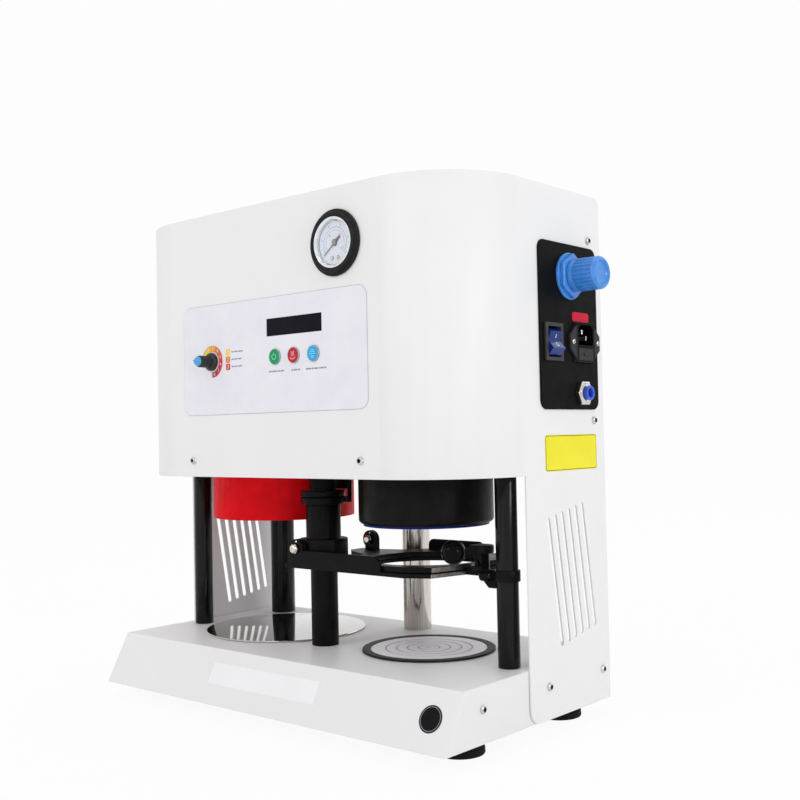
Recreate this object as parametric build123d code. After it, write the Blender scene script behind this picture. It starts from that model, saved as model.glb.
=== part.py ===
"""Dental vacuum former with a swinging foil carrier, a radiant heater and a pressure chamber.

Millimetres, +Z up, X to the right, -Y to the front. The model is drawn about the middle of the
housing and moved sideways by ORIGIN_X at the end, so that the origin lies on the supporting
surface under the centre of the whole machine's box.
"""

from build123d import *
import math
import os

# ---------------------------------------------------------------- general fits
GAP = 0.3  # clearance between neighbouring pieces that do not bear on each other
RUN_FIT = 0.05  # radial clearance of a shaft in its bore
SEAT_FIT = 0.02  # radial clearance of a piece seated in its hole
CUT = 1.0  # how far a cutting tool runs past the faces it cuts

# ---------------------------------------------------------------- stations, columns and posts
COLUMN_X, COLUMN_Y = -4.0, -21.0
COLUMN_R = 12.2
COLUMN_BORE_R = 8.0
STATION_DX, STATION_DY = 91.0, 37.0  # each station's centre from the column
FORM_X, FORM_Y = COLUMN_X + STATION_DX, COLUMN_Y + STATION_DY
HEAT_X, HEAT_Y = COLUMN_X - STATION_DX, COLUMN_Y + STATION_DY
REFLECTOR_R = 78.0
FRAME_RIGHT = 60.5  # reach of the carrier to the right of the forming station
FRAME_REAR = 62.2
EAR_R = 6.0
STUD_DX, STUD_DY = 9.5, -13.0  # from the carrier's right edge and from the forming station
STUD_X, STUD_Y = FORM_X + FRAME_RIGHT + STUD_DX, FORM_Y + STUD_DY
FRONT_POST_R = 9.0
POST_DISC_GAP = 5.0  # from the mirror disc to the left post
POST_EAR_GAP = 15.6  # from the carrier's ear to the right post
POST_WALL_GAP = 13.4  # from the right post to the housing's outer face
LEFT_POST_DY, RIGHT_POST_DY = 8.7, 16.4  # the posts stand behind the column by this
LEFT_POST = (HEAT_X - REFLECTOR_R - POST_DISC_GAP - FRONT_POST_R, COLUMN_Y + LEFT_POST_DY)
RIGHT_POST = (STUD_X + EAR_R + POST_EAR_GAP + FRONT_POST_R, COLUMN_Y + RIGHT_POST_DY)
SIDE_X = RIGHT_POST[0] + FRONT_POST_R + POST_WALL_GAP

# ---------------------------------------------------------------- housing sheet
HOUSING_W = 2 * SIDE_X
DEPTH = 228.4  # base front edge to housing rear edge
HOOD_DEPTH = 203.6
FOOT_H = 12.0
BASE_H = 43.6
CLEAR_H = 153.4  # free height between the base and the hood
HOOD_H = 239.3
BASE_BOTTOM_Z = FOOT_H
BASE_TOP_Z = BASE_BOTTOM_Z + BASE_H
HOOD_BOTTOM_Z = BASE_TOP_Z + CLEAR_H
HOUSING_TOP_Z = HOOD_BOTTOM_Z + HOOD_H
HOOD_CORNER_R = 80.9
SHEET = 1.8
INNER_SHEET = 1.5
REAR_Y = DEPTH / 2
BASE_FRONT_Y = -DEPTH / 2
HOOD_FRONT_Y = REAR_Y - HOOD_DEPTH
REAR_CORNER_R = 7.0

LEG_DEPTH = 121.6
LEG_GROUND_GAP = 12.4
LEG_TOE_R = 12.0
LEG_FRONT_Y = REAR_Y - LEG_DEPTH

SLOT_COUNT = 6
SLOT_W = 4.6
SLOT_LENGTH = 107.0
SLOT_LEAN = 9.25  # degrees from upright, the top towards the front
SLOT_PITCH = 10.3
SLOT_RISE = 1.93  # each slot stands this much higher than the one in front of it
SLOT_DY, SLOT_DZ = 38.9, 65.6  # first slot's middle, from the leg's front edge and the base's top
SLOT_Y = LEG_FRONT_Y + SLOT_DY
SLOT_Z = BASE_TOP_Z + SLOT_DZ

FLOOR_RECESS = 2.0
FLOOR_SHEET = 2.0
FLOOR_Z = HOOD_BOTTOM_Z + FLOOR_RECESS
FLOOR_TOP_Z = FLOOR_Z + FLOOR_SHEET
FLOOR_FLANGE_HALF = 120.0
FLOOR_FLANGE_H = 25.0

COVER_SHEET = 1.6
COVER_RECESS = 0.2
COVER_TOP_Z = HOUSING_TOP_Z - COVER_RECESS
COVER_LIP = 18.0
REAR_FACE_Y = REAR_Y - GAP
REAR_INNER_Y = REAR_FACE_Y - SHEET
REAR_FLANGE = 26.0

# ---------------------------------------------------------------- base and feet
FOOT_R = 20.0
FOOT_INSET = 30.0  # from the housing's side
FOOT_SETBACKS = (52.2, 38.2)  # from the front and from the rear
FOOT_X = SIDE_X - FOOT_INSET
FOOT_YS = (BASE_FRONT_Y + FOOT_SETBACKS[0], REAR_Y - FOOT_SETBACKS[1])
FOOT_EDGE = 1.5
BASE_SLOPE_RUN = 23.3
BASE_HALF_W = SIDE_X - SHEET - GAP
BASE_REAR_GAP = 1.2
BASE_REAR_Y = REAR_Y - BASE_REAR_GAP
BASE_PLATE_FLANGE_H = 33.5
BASE_PLATE_SETBACK = 34.2  # behind the base's front edge
BASE_PLATE_FLANGE_FRONT_Y = BASE_FRONT_Y + BASE_PLATE_SETBACK
SLOPE_ANGLE = math.atan2(BASE_H, BASE_SLOPE_RUN)

# ---------------------------------------------------------------- screws of the sheet metal
SCREW_R = 1.95
SCREW_HOLE_R = 2.15
SCREW_HEAD_R = 3.5
SCREW_HEAD_H = 2.2
SCREW_LENGTH = 8.0
UPPER_SCREW_IN, UPPER_SCREW_DROP = 19.9, 39.6  # from the rear and from the housing's top
LOWER_SCREW_IN, LOWER_SCREW_RISE = 16.4, 44.2  # from the rear and from the hood's lower edge
LEG_SCREW_IN, LEG_REAR_SCREW_IN, LEG_SCREW_RISE = 26.2, 12.2, 26.8
BASE_SCREW_IN, BASE_SCREW_RISE = 45.8, 26.3
HOOD_SIDE_SCREWS = (
    (REAR_Y - UPPER_SCREW_IN, HOUSING_TOP_Z - UPPER_SCREW_DROP),
    (REAR_Y - LOWER_SCREW_IN, HOOD_BOTTOM_Z + LOWER_SCREW_RISE),
)
LEG_SCREWS = (
    (LEG_FRONT_Y + LEG_SCREW_IN, BASE_BOTTOM_Z + LEG_SCREW_RISE),
    (REAR_Y - LEG_REAR_SCREW_IN, BASE_BOTTOM_Z + LEG_SCREW_RISE),
)
BASE_SCREWS = ((BASE_FRONT_Y + BASE_SCREW_IN, BASE_BOTTOM_Z + BASE_SCREW_RISE),)
FRONT_SCREW_XS = (-103.0, 107.7)
FRONT_SCREW_RISE = 14.9
FRONT_SCREW_Z = HOOD_BOTTOM_Z + FRONT_SCREW_RISE

# ---------------------------------------------------------------- rear post and riser
REAR_POST_INSETS = (36.7, 29.4)  # from the housing's left side and from its rear
REAR_POST = (REAR_POST_INSETS[0] - SIDE_X, REAR_Y - REAR_POST_INSETS[1])
REAR_POST_R = 12.5
RISER_DX, RISER_DY = 16.0, 11.8  # from the column and from the carrier's rear edge
RISER = (COLUMN_X + RISER_DX, FORM_Y + FRAME_REAR + RISER_DY)
RISER_R = 13.4
RISER_WALL = 1.5

# ---------------------------------------------------------------- forming station
PLATE_R = 51.0
PLATE_T = 8.0
PLATE_PROUD = 1.5  # height of the plate above the base top
PLATE_TOP_Z = BASE_TOP_Z + PLATE_PROUD
GROOVE_COUNT = 4
GROOVE_PITCH = 9.5
GROOVE_W = 1.6
GROOVE_DEPTH = 0.6
VACUUM_HOLE_R = 0.9
VACUUM_HOLE_PITCH = 8.7
VACUUM_HOLE_COUNT = 9
CENTRE_SLOT = (12.0, 2.0)
GASKET_RIM = 7.5  # width of the gasket around the plate
GASKET_R = PLATE_R + GASKET_RIM
GASKET_PROUD = 1.9
MANIFOLD_RIM = 5.0
MANIFOLD_R = PLATE_R + MANIFOLD_RIM
MANIFOLD_LEDGE = 5.0
MANIFOLD_H = 18.0
MANIFOLD_CAVITY_H = 9.0
MANIFOLD_PORT_R = 5.0
MANIFOLD_PORT_L = 16.0
REFLECTOR_T = 1.8

# ---------------------------------------------------------------- heater
HEATER_R = 69.0
HEATER_WALL = 2.0
HEATER_HANG = 42.4  # below the hood's lower edge
HEATER_BOTTOM_Z = HOOD_BOTTOM_Z - HEATER_HANG
HEATER_RISE = 19.0  # above the housing floor
HEATER_TOP_Z = FLOOR_TOP_Z + HEATER_RISE
HEATER_FLANGE_W = 6.0
HEATER_FLANGE_R = HEATER_R + HEATER_FLANGE_W
INSULATION_T = 12.0
ELEMENT_RADII = (30.0, 52.0)
ELEMENT_TUBE_R = 3.5
ELEMENT_BAR_W = 6.0
ELEMENT_BAR_T = 4.0
TERMINAL_R = 2.6
ELEMENT_DROP = 28.0
ELEMENT_Z = HEATER_TOP_Z - ELEMENT_DROP

# ---------------------------------------------------------------- pressure chamber and cylinder
CHAMBER_R = 59.5
CHAMBER_WALL = 9.0
CHAMBER_TOP_T = 8.0
CHAMBER_HANG = 42.1  # below the hood's lower edge
CHAMBER_BOTTOM_Z = HOOD_BOTTOM_Z - CHAMBER_HANG
CHAMBER_H = 62.1
CHAMBER_TOP_Z = CHAMBER_BOTTOM_Z + CHAMBER_H
CHAMBER_EDGE_R = 3.9
SEAL_R = 54.3  # middle of the seal's section
SEAL_W = 2.2
SEAL_PROUD = 1.8
SEAL_DEPTH = 2.2
BRIDGE_CLEAR = 7.0  # from the floor's hole to the bridge's legs and over the chamber
BRIDGE_SHEET = 4.0
BRIDGE_HALF_Y = 32.0
CYLINDER_CAP = 75.0
CYLINDER_CAP_H = 16.0
CYLINDER_WALL = 3.0
CYLINDER_BORE_R = 31.5
CYLINDER_HEADROOM = 42.5  # from the cylinder to the housing's lid
ROD_R = 10.0
ROD_SPIGOT_R = 6.0
PISTON_T = 14.0
PISTON_REST_GAP = 5.0  # free length above the piston at rest

# ---------------------------------------------------------------- foil carrier
FRAME_DROP = 40.3  # below the pressure chamber at rest
FRAME_BOTTOM_Z = CHAMBER_BOTTOM_Z - FRAME_DROP
FRAME_T = 3.5
FRAME_TOP_Z = FRAME_BOTTOM_Z + FRAME_T
FRAME_OPENING_R = 53.0
FRAME_FRONT = 65.5  # reach of the frame from the forming station's centre
FRAME_LEFT = 22.0  # reach of the frame to the left of the column
FRONT_FLANGE_H = 16.0
FRONT_FLANGE_END_DX = 3.0
FRONT_FLANGE_END_X = FORM_X + FRONT_FLANGE_END_DX
FLANGE_T = 2.5
FLANGE_CORNER_R = 9.0
RING_T = 4.7
RING_BOTTOM_Z = FRAME_TOP_Z + GAP
RING_TOP_Z = RING_BOTTOM_Z + RING_T
RING_OPENING_R = 52.0
RING_RIGHT = 58.5
RING_FLANGE_T = 2.0
RING_FLANGE_H = 9.5
RING_FLANGE_DXS = (-48.0, 17.0)  # from the forming station
RING_FLANGE_XS = (FORM_X + RING_FLANGE_DXS[0], FORM_X + RING_FLANGE_DXS[1])
RING_FLANGE_END_R = 6.0
RING_FRONT_FLANGE_H = 8.6
RING_FRONT_FLANGE_DX = 27.0
RING_FRONT_FLANGE_END_X = FORM_X - RING_FRONT_FLANGE_DX
SIDE_BEND_X, SIDE_BEND_Y = 11.5, 11.0  # bend of the carrier's right edge, from its front right corner
SIDE_START = 33.0  # where the front edge begins to bend, from the right edge
SIDE_STRAIGHT = 58.5  # where the right edge becomes straight, from the front
REAR_CORNER_X, REAR_CORNER_Y = 22.0, 30.0  # the bevelled rear right corner
HINGE_DX, HINGE_RISE = -7.0, 14.0  # from the column and above the carrier
HINGE_X, HINGE_Z = COLUMN_X + HINGE_DX, FRAME_TOP_Z + HINGE_RISE
LUG_R = 8.5
LUG_T = 2.5
REAR_LUG_DY = 34.5
REAR_LUG_Y = FORM_Y + REAR_LUG_DY
HINGE_BOLT_R = 3.0
DOME_NUT_R = 4.8
DOME_NUT_L = 4.5
BOLT_HEAD_R = 5.0
BOLT_HEAD_L = 2.0
HUB_R = 22.0
HUB_H = 21.5
HUB_TOP_Z = FRAME_TOP_Z + HUB_H
SLEEVE_WALL = 1.8
BUSHING_WALL = 1.65
BUSHING_R = COLUMN_R + RUN_FIT + BUSHING_WALL
SLEEVE_BORE_R = BUSHING_R + RUN_FIT
SLEEVE_R = SLEEVE_BORE_R + SLEEVE_WALL
BUSHING_FLANGE_R = 20.0
BUSHING_HANG = 19.4
BUSHING_FLANGE_Z = HOOD_BOTTOM_Z - BUSHING_HANG
BUSHING_FLANGE_T = 5.0
CAM_COLLAR_R = 20.0
CAM_COLLAR_H = 6.0
CAM_COLLAR_DROP = 6.8
CAM_COLLAR_Z = BUSHING_FLANGE_Z - CAM_COLLAR_DROP
CAM_ANGLE = 41.0  # degrees, direction of the trigger arm
CAM_PIN_REACH = 24.3
CAM_PIN_R = 2.0
CAM_PIN_H = 17.0
CAM_ARM_W = 7.0

# ---------------------------------------------------------------- clamp lever
STUD_R = 3.0
LEVER_CAM_R = 8.0
LEVER_CAM_OFFSET = 2.4
LEVER_CAM_H = 4.1
LEVER_NECK_R = 6.0
LEVER_HEAD_R = 10.0
LEVER_HEAD_H = 7.0
LEVER_HEAD_RISE = 14.5
LEVER_HEAD_Z = FRAME_TOP_Z + LEVER_HEAD_RISE
LEVER_ARM_R = 3.0
BALL_R = 10.0
BALL_DX, BALL_DY = -4.0, -33.0
BALL_BORE_DEPTH = 7.0

# ---------------------------------------------------------------- stop collar on the right post
STOP_R = 10.6
STOP_H = 9.0
STOP_DROP = 2.0
STOP_Z = FRAME_BOTTOM_Z - STOP_DROP
STOP_PLATE_T = 2.0
STOP_PLATE_REACHES = (21.1, 5.4)  # to the left of the post and in front of it
STOP_PLATE_DROP = 8.0
STOP_PLATE_X = RIGHT_POST[0] - STOP_PLATE_REACHES[0]
STOP_PLATE_Y = RIGHT_POST[1] - STOP_PLATE_REACHES[1]
STOP_PLATE_Z = FRAME_BOTTOM_Z - STOP_PLATE_DROP
STOP_PLATE_H = 15.0
STOP_PLATE_SLANT = 6.0
STOP_BOSS_R = 4.2
STOP_BOSS_L = 8.0
CATCH_R = 2.5
CATCH_TIP_PROUD = 1.4
CATCH_TIP_X = STOP_PLATE_X - CATCH_TIP_PROUD
CATCH_L = 11.0
CATCH_RISE = 1.8
CATCH_Z = FRAME_BOTTOM_Z + CATCH_RISE

# ---------------------------------------------------------------- position switch
SWITCH_DX, SWITCH_DY = 3.0, 22.5  # from the column
SWITCH_X, SWITCH_Y = COLUMN_X + SWITCH_DX, COLUMN_Y + SWITCH_DY
SWITCH_SIZE = (16.0, 8.0)
SWITCH_HANG = 15.4
SWITCH_BOTTOM_Z = FLOOR_Z - SWITCH_HANG
SWITCH_LEVER_L = 4.6

# ---------------------------------------------------------------- front controls
LABEL_T = 0.6
LABEL_XS = (-114.0, 117.5)
LABEL_DROPS = (182.8, 83.7)  # below the housing's top
LABEL_ZS = (HOUSING_TOP_Z - LABEL_DROPS[0], HOUSING_TOP_Z - LABEL_DROPS[1])
LABEL_CORNER_R = 9.0
FRONT_FACE_Y = HOOD_FRONT_Y - LABEL_T
FRONT_INNER_Y = HOOD_FRONT_Y + SHEET
BUTTON_XS = (10.5, 33.6, 57.3)
BUTTON_DROP = 135.3
BUTTON_Z = HOUSING_TOP_Z - BUTTON_DROP
BUTTON_R = 6.9
BUTTON_PROUD = 1.8
BUTTON_TRAVEL = 1.5
BUTTON_FLANGE_R = 8.3
BUTTON_FLANGE_T = 1.0
BUTTON_EDGE_R = 0.8
BOARD_BACK = 11.5  # from the shell's inner face to the board
BOARD_T = 1.6
BOARD_XS = (-110.0, 112.0)
BOARD_DROPS = (173.3, 92.3)
BOARD_ZS = (HOUSING_TOP_Z - BOARD_DROPS[0], HOUSING_TOP_Z - BOARD_DROPS[1])
STANDOFF_R = 3.0
STANDOFF_INSET = 8.0
SWITCH_TOWER_R = 3.0
SWITCH_TOWER_H = 2.4
DISPLAY_XS = (-0.4, 67.2)
DISPLAY_DROPS = (117.3, 102.0)
DISPLAY_ZS = (HOUSING_TOP_Z - DISPLAY_DROPS[0], HOUSING_TOP_Z - DISPLAY_DROPS[1])
DISPLAY_RIM = 6.0
DISPLAY_RECESS = 0.5
TIMER_DROP = 135.0
TIMER_X, TIMER_Z = -73.5, HOUSING_TOP_Z - TIMER_DROP
TIMER_SKIRT_R = 8.25
TIMER_SKIRT_T = 3.0
TIMER_BODY_R = 5.25
TIMER_CAP_R = 4.0
TIMER_BODY_L = 16.5  # from the shell to the body's end face
TIMER_REACH = 22.0
TIMER_SHAFT_R = 3.0
TIMER_SHAFT_L = 12.0
TIMER_BUSH_R = 4.5
TIMER_CASE_R = 12.0
GAUGE_DROP = 46.7
GAUGE_X, GAUGE_Z = 84.5, HOUSING_TOP_Z - GAUGE_DROP
GAUGE_RING_R = 27.5
GAUGE_RING_PROUD = 5.0
GAUGE_BEZEL_R = 21.0
GAUGE_BEZEL_T = 2.0
GAUGE_CASE_R = 19.6
GAUGE_CASE_WALL = 1.4
GAUGE_CASE_L = 30.0
GAUGE_DIAL_DEPTH = 4.2
GAUGE_DIAL_T = 0.8
GAUGE_GLASS_T = 1.0
POINTER_L = 15.0
POINTER_TAIL = 5.0
POINTER_T = 0.8
POINTER_HUB_R = 2.0
POINTER_POST_R = 0.7
POINTER_W = 1.2
POINTER_ANGLE = 218.6  # degrees, counted anticlockwise from +X as seen from the front

# ---------------------------------------------------------------- right side controls
PANEL_INSETS = (99.2, 10.2)  # from the rear
PANEL_YS = (REAR_Y - PANEL_INSETS[0], REAR_Y - PANEL_INSETS[1])
PANEL_DROPS = (186.0, 46.7)  # below the housing's top
PANEL_ZS = (HOUSING_TOP_Z - PANEL_DROPS[0], HOUSING_TOP_Z - PANEL_DROPS[1])
PANEL_T = 1.5
PANEL_CORNER_R = 8.0
PANEL_X = SIDE_X + PANEL_T
SIDE_INNER_X = SIDE_X - SHEET
REGULATOR_IN, REGULATOR_DROP = 54.8, 74.1
REGULATOR_Y, REGULATOR_Z = REAR_Y - REGULATOR_IN, HOUSING_TOP_Z - REGULATOR_DROP
REGULATOR_NECK_R = 11.0
REGULATOR_BODY = 40.0
REGULATOR_NUT_R = 19.7
REGULATOR_NUT_FLANGE_T = 2.6
REGULATOR_HEX_AF = 33.0
REGULATOR_HEX_T = 4.0
KNOB_R = 14.0
KNOB_REACH = 35.0
KNOB_BACK = 8.6  # from the shell to the knob's inner end
KNOB_WALL = 2.4
KNOB_BORE_DEPTH = 9.0
KNOB_EDGE_R = 3.0
ROCKER_IN, ROCKER_DROP = 80.2, 130.3
ROCKER_Y, ROCKER_Z = REAR_Y - ROCKER_IN, HOUSING_TOP_Z - ROCKER_DROP
ROCKER_FRAME_W, ROCKER_FRAME_H = 26.0, 31.4
ROCKER_BODY_W, ROCKER_BODY_H = 22.0, 28.0
ROCKER_FRAME_T = 2.0
ROCKER_BODY_DEPTH = 24.0
ROCKER_WALL = 1.6
ROCKER_HALF_H = 11.6
ROCKER_TIP_H = 7.0  # from the middle to the edge between a key face and its end face
ROCKER_FOOT = 1.5  # where the end face starts, in front of the pivot
ROCKER_TIP = 7.4
ROCKER_WAIST = 3.6
ROCKER_BACK = 5.0
ROCKER_TILT = -10.0  # degrees, the lower end stands out
ROCKER_PIVOT_R = 1.5
INLET_IN, INLET_DROP = 33.4, 128.9
INLET_Y, INLET_Z = REAR_Y - INLET_IN, HOUSING_TOP_Z - INLET_DROP
INLET_FLANGE_W, INLET_FLANGE_H = 46.5, 28.0
INLET_EAR_H = 12.0
INLET_FLANGE_T = 2.5
INLET_BODY_W, INLET_BODY_H = 28.0, 34.0
INLET_BODY_PROUD = 3.0
INLET_DEPTH = 24.0
INLET_SCREW_SPACING = 38.6
INLET_SCREW_R = 1.8
SOCKET_W, SOCKET_H = 23.0, 17.5
SOCKET_DEPTH = 17.0
SOCKET_CORNER = 4.0
SOCKET_RAISE = 6.2  # socket centre above the inlet's centre
SOCKET_PINS = ((-7.0, -2.0), (7.0, -2.0), (0.0, 3.0))
SOCKET_PIN_SIZE = (2.0, 4.0)
FUSE_W, FUSE_H = 23.0, 10.4
FUSE_DROP = 10.3  # drawer centre below the inlet's centre
FUSE_DEPTH = 20.0
FUSE_TRAVEL = 16.0
FITTING_IN, FITTING_DROP = 37.5, 172.2
FITTING_Y, FITTING_Z = REAR_Y - FITTING_IN, HOUSING_TOP_Z - FITTING_DROP
FITTING_AF = 19.4
FITTING_TURN = 30.0  # degrees, a flat on top
FITTING_HEX_T = 5.5
FITTING_NECK_R = 6.8
FITTING_DEPTH = 14.0
COLLAR_R = 5.2
COLLAR_FLANGE_R = 6.3
COLLAR_FLANGE_T = 1.8
COLLAR_TRAVEL = 1.5
COLLAR_BORE_R = 4.05
COLLAR_LENGTH = 14.0

# ---------------------------------------------------------------- valve block
VALVE_XS = (-60.0, 40.0)
VALVE_DROPS = (148.3, 108.3)
VALVE_ZS = (HOUSING_TOP_Z - VALVE_DROPS[0], HOUSING_TOP_Z - VALVE_DROPS[1])
VALVE_DEPTH = 35.0
VALVE_COIL_R = 9.0
VALVE_COIL_H = 32.0

ORIGIN_X = (SCREW_HEAD_H - KNOB_REACH) / 2  # middle of the housing in the finished part's own frame


# ================================================================ drawing helpers
def block(xs, ys, zs):
    """A box between two limits on each axis."""
    size = [high - low for low, high in (xs, ys, zs)]
    middle = [(high + low) / 2 for low, high in (xs, ys, zs)]
    return Pos(*middle) * Box(*size)


def about(middle, size):
    """Low and high limit of a size centred on a value."""
    return middle - size / 2, middle + size / 2


def disc(radius, z_low, z_high, x=0.0, y=0.0):
    """A cylinder standing along Z."""
    return Pos(x, y, (z_low + z_high) / 2) * Cylinder(radius, z_high - z_low)


def pipe(outer, inner, z_low, z_high, x=0.0, y=0.0):
    """A tube standing along Z."""
    return disc(outer, z_low, z_high, x, y) - disc(inner, z_low - CUT, z_high + CUT, x, y)


def round_y(radius, y_low, y_high, x, z):
    """A cylinder lying along Y."""
    return Pos(x, (y_low + y_high) / 2, z) * Rot(90, 0, 0) * Cylinder(radius, y_high - y_low)


def round_x(radius, x_low, x_high, y, z):
    """A cylinder lying along X."""
    return Pos((x_low + x_high) / 2, y, z) * Rot(0, 90, 0) * Cylinder(radius, x_high - x_low)


def hexagon_x(across_flats, x_low, x_high, y, z, turn=0.0):
    """A hexagonal bar lying along X, with a corner pointing up unless it is turned (degrees)."""
    outline = RegularPolygon(across_flats / 2, 6, major_radius=False, rotation=turn)
    face = Plane(origin=(x_low, y, z), x_dir=(0, 0, 1), z_dir=(1, 0, 0)) * outline
    return extrude(face, x_high - x_low)


def hexagon_z(across_flats, z_low, z_high, x, y):
    """A hexagonal bar standing along Z."""
    outline = RegularPolygon(across_flats / 2, 6, major_radius=False)
    return extrude(Pos(x, y, z_low) * outline, z_high - z_low)


def prism(points, along):
    """A closed outline of 3-D points extruded by a vector."""
    outline = Face(Wire.make_polygon([Vector(*point) for point in points], close=True))
    return extrude(outline, amount=Vector(*along).length, dir=along)


def rounded_plate_y(xs, zs, corner, y_low, y_high):
    """A plate facing the front, with rounded corners."""
    outline = RectangleRounded(xs[1] - xs[0], zs[1] - zs[0], corner)
    face = Plane(origin=(sum(xs) / 2, y_high, sum(zs) / 2), x_dir=(1, 0, 0), z_dir=(0, -1, 0)) * outline
    return extrude(face, y_high - y_low)


def rounded_plate_x(ys, zs, corner, x_low, x_high):
    """A plate facing the right-hand side, with rounded corners."""
    outline = RectangleRounded(ys[1] - ys[0], zs[1] - zs[0], corner)
    face = Plane(origin=(x_low, sum(ys) / 2, sum(zs) / 2), x_dir=(0, 1, 0), z_dir=(1, 0, 0)) * outline
    return extrude(face, x_high - x_low)


def group(pieces):
    """Separate solids that share one node."""
    return Compound(children=[solid for piece in pieces for solid in piece.solids()])


# ================================================================ sheet metal
def hood_plan(inset, rear_y):
    """Plan of the hood with its two round front corners, this far inside the outer face."""
    front = HOOD_FRONT_Y + inset
    width = HOUSING_W - 2 * inset
    plan = Pos(0, (front + rear_y) / 2) * Rectangle(width, rear_y - front)
    return fillet(plan.vertices().sort_by(Axis.Y)[:2], HOOD_CORNER_R - inset)


def hood_block(inset, rear_y, z_low, z_high):
    """The hood's plan extruded between two heights."""
    return extrude(Pos(0, 0, z_low) * hood_plan(inset, rear_y), z_high - z_low)


def side_screw_holes(places, x_low, x_high):
    """Screw holes through both side walls between two distances from the middle."""
    holes = [round_x(SCREW_HOLE_R, x_low, x_high, y, z) for y, z in places]
    holes += [round_x(SCREW_HOLE_R, -x_high, -x_low, y, z) for y, z in places]
    return holes


def front_screw_holes(y_low, y_high):
    """Screw holes through the front wall."""
    return [round_y(SCREW_HOLE_R, y_low, y_high, x, FRONT_SCREW_Z) for x in FRONT_SCREW_XS]


def leg(side):
    """One side plate below the hood, with a round toe and its slanted air slots."""
    x_low = SIDE_X - SHEET
    plate = block((x_low, SIDE_X), (LEG_FRONT_Y, REAR_Y), (LEG_GROUND_GAP, HOOD_BOTTOM_Z))
    toe = plate.edges().filter_by(Axis.X).sort_by(Axis.Z)[:2].sort_by(Axis.Y)[0]
    plate = fillet(toe, LEG_TOE_R)
    lean = math.radians(SLOT_LEAN)
    upright = (0, -math.sin(lean), math.cos(lean))
    for number in range(SLOT_COUNT):
        place = (x_low - CUT, SLOT_Y + number * SLOT_PITCH, SLOT_Z + number * SLOT_RISE)
        slot = Plane(origin=place, x_dir=upright, z_dir=(1, 0, 0)) * SlotOverall(SLOT_LENGTH, SLOT_W)
        plate -= extrude(slot, SHEET + 2 * CUT)
    return plate if side > 0 else mirror(plate, about=Plane.YZ)


def panel_openings(x_low):
    """Openings for the regulator, rocker, mains inlet and air fitting, from x_low outwards."""
    xs = (x_low, PANEL_X + CUT)
    return [
        round_x(REGULATOR_NECK_R + GAP, *xs, REGULATOR_Y, REGULATOR_Z),
        block(xs, about(ROCKER_Y, ROCKER_BODY_W + 2 * GAP), about(ROCKER_Z, ROCKER_BODY_H + 2 * GAP)),
        block(xs, about(INLET_Y, INLET_BODY_W + 2 * GAP), about(INLET_Z, INLET_BODY_H + 2 * GAP)),
        round_x(FITTING_NECK_R + GAP, *xs, FITTING_Y, FITTING_Z),
    ]


def control_openings(y_low, y_high):
    """Openings behind the control label: buttons, display window and timer bush."""
    holes = [round_y(BUTTON_R + RUN_FIT, y_low, y_high, x, BUTTON_Z) for x in BUTTON_XS]
    holes.append(round_y(TIMER_BUSH_R + GAP, y_low, y_high, TIMER_X, TIMER_Z))
    holes.append(block(DISPLAY_XS, (y_low, y_high), DISPLAY_ZS))
    return holes


def outer_shell():
    """Wrapped sheet: rounded front, both sides and the two legs."""
    shell = hood_block(0, REAR_Y, HOOD_BOTTOM_Z, HOUSING_TOP_Z)
    shell -= hood_block(SHEET, REAR_Y + CUT, HOOD_BOTTOM_Z - CUT, HOUSING_TOP_Z + CUT)
    top_rear = shell.edges().filter_by(Axis.X).filter_by_position(Axis.Z, *about(HOUSING_TOP_Z, GAP))
    shell = fillet(top_rear.sort_by(Axis.Y)[-2:], REAR_CORNER_R)
    shell += [leg(1), leg(-1)]
    shell -= side_screw_holes(HOOD_SIDE_SCREWS + LEG_SCREWS, SIDE_X - SHEET - CUT, SIDE_X + CUT)
    front_ys = (HOOD_FRONT_Y - CUT, FRONT_INNER_Y + CUT)
    shell -= front_screw_holes(*front_ys) + control_openings(*front_ys)
    shell -= panel_openings(SIDE_X - SHEET - CUT)
    shell -= round_y(GAUGE_CASE_R + GAP, *front_ys, GAUGE_X, GAUGE_Z)
    return shell


def top_cover():
    """Lid inside the shell's upper rim, bent down over the rear."""
    lip_z = COVER_TOP_Z - COVER_LIP
    cover = hood_block(SHEET + GAP, REAR_FACE_Y, lip_z, COVER_TOP_Z)
    bend = cover.edges().filter_by(Axis.X).sort_by(Axis.Z)[-2:].sort_by(Axis.Y)[-1]
    cover = fillet(bend, REAR_CORNER_R)
    hollow = block(
        (-SIDE_X, SIDE_X),
        (HOOD_FRONT_Y - CUT, REAR_FACE_Y - COVER_SHEET),
        (lip_z - CUT, COVER_TOP_Z - COVER_SHEET),
    )
    inner_bend = hollow.edges().filter_by(Axis.X).sort_by(Axis.Z)[-2:].sort_by(Axis.Y)[-1]
    return cover - fillet(inner_bend, REAR_CORNER_R - COVER_SHEET)


def rear_panel():
    """Rear plate with forward flanges that the side screws hold."""
    top_z = COVER_TOP_Z - COVER_LIP - GAP
    half = SIDE_X - SHEET - GAP
    panel = block((-half, half), (REAR_INNER_Y, REAR_FACE_Y), (HOOD_BOTTOM_Z, top_z))
    ys = (REAR_FACE_Y - REAR_FLANGE, REAR_INNER_Y)
    zs = (FLOOR_TOP_Z + GAP, top_z)
    panel += [block((half - INNER_SHEET, half), ys, zs), block((-half, INNER_SHEET - half), ys, zs)]
    panel -= panel_openings(half - INNER_SHEET - CUT)
    return panel - side_screw_holes(HOOD_SIDE_SCREWS, half - INNER_SHEET - CUT, half + CUT)


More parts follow.
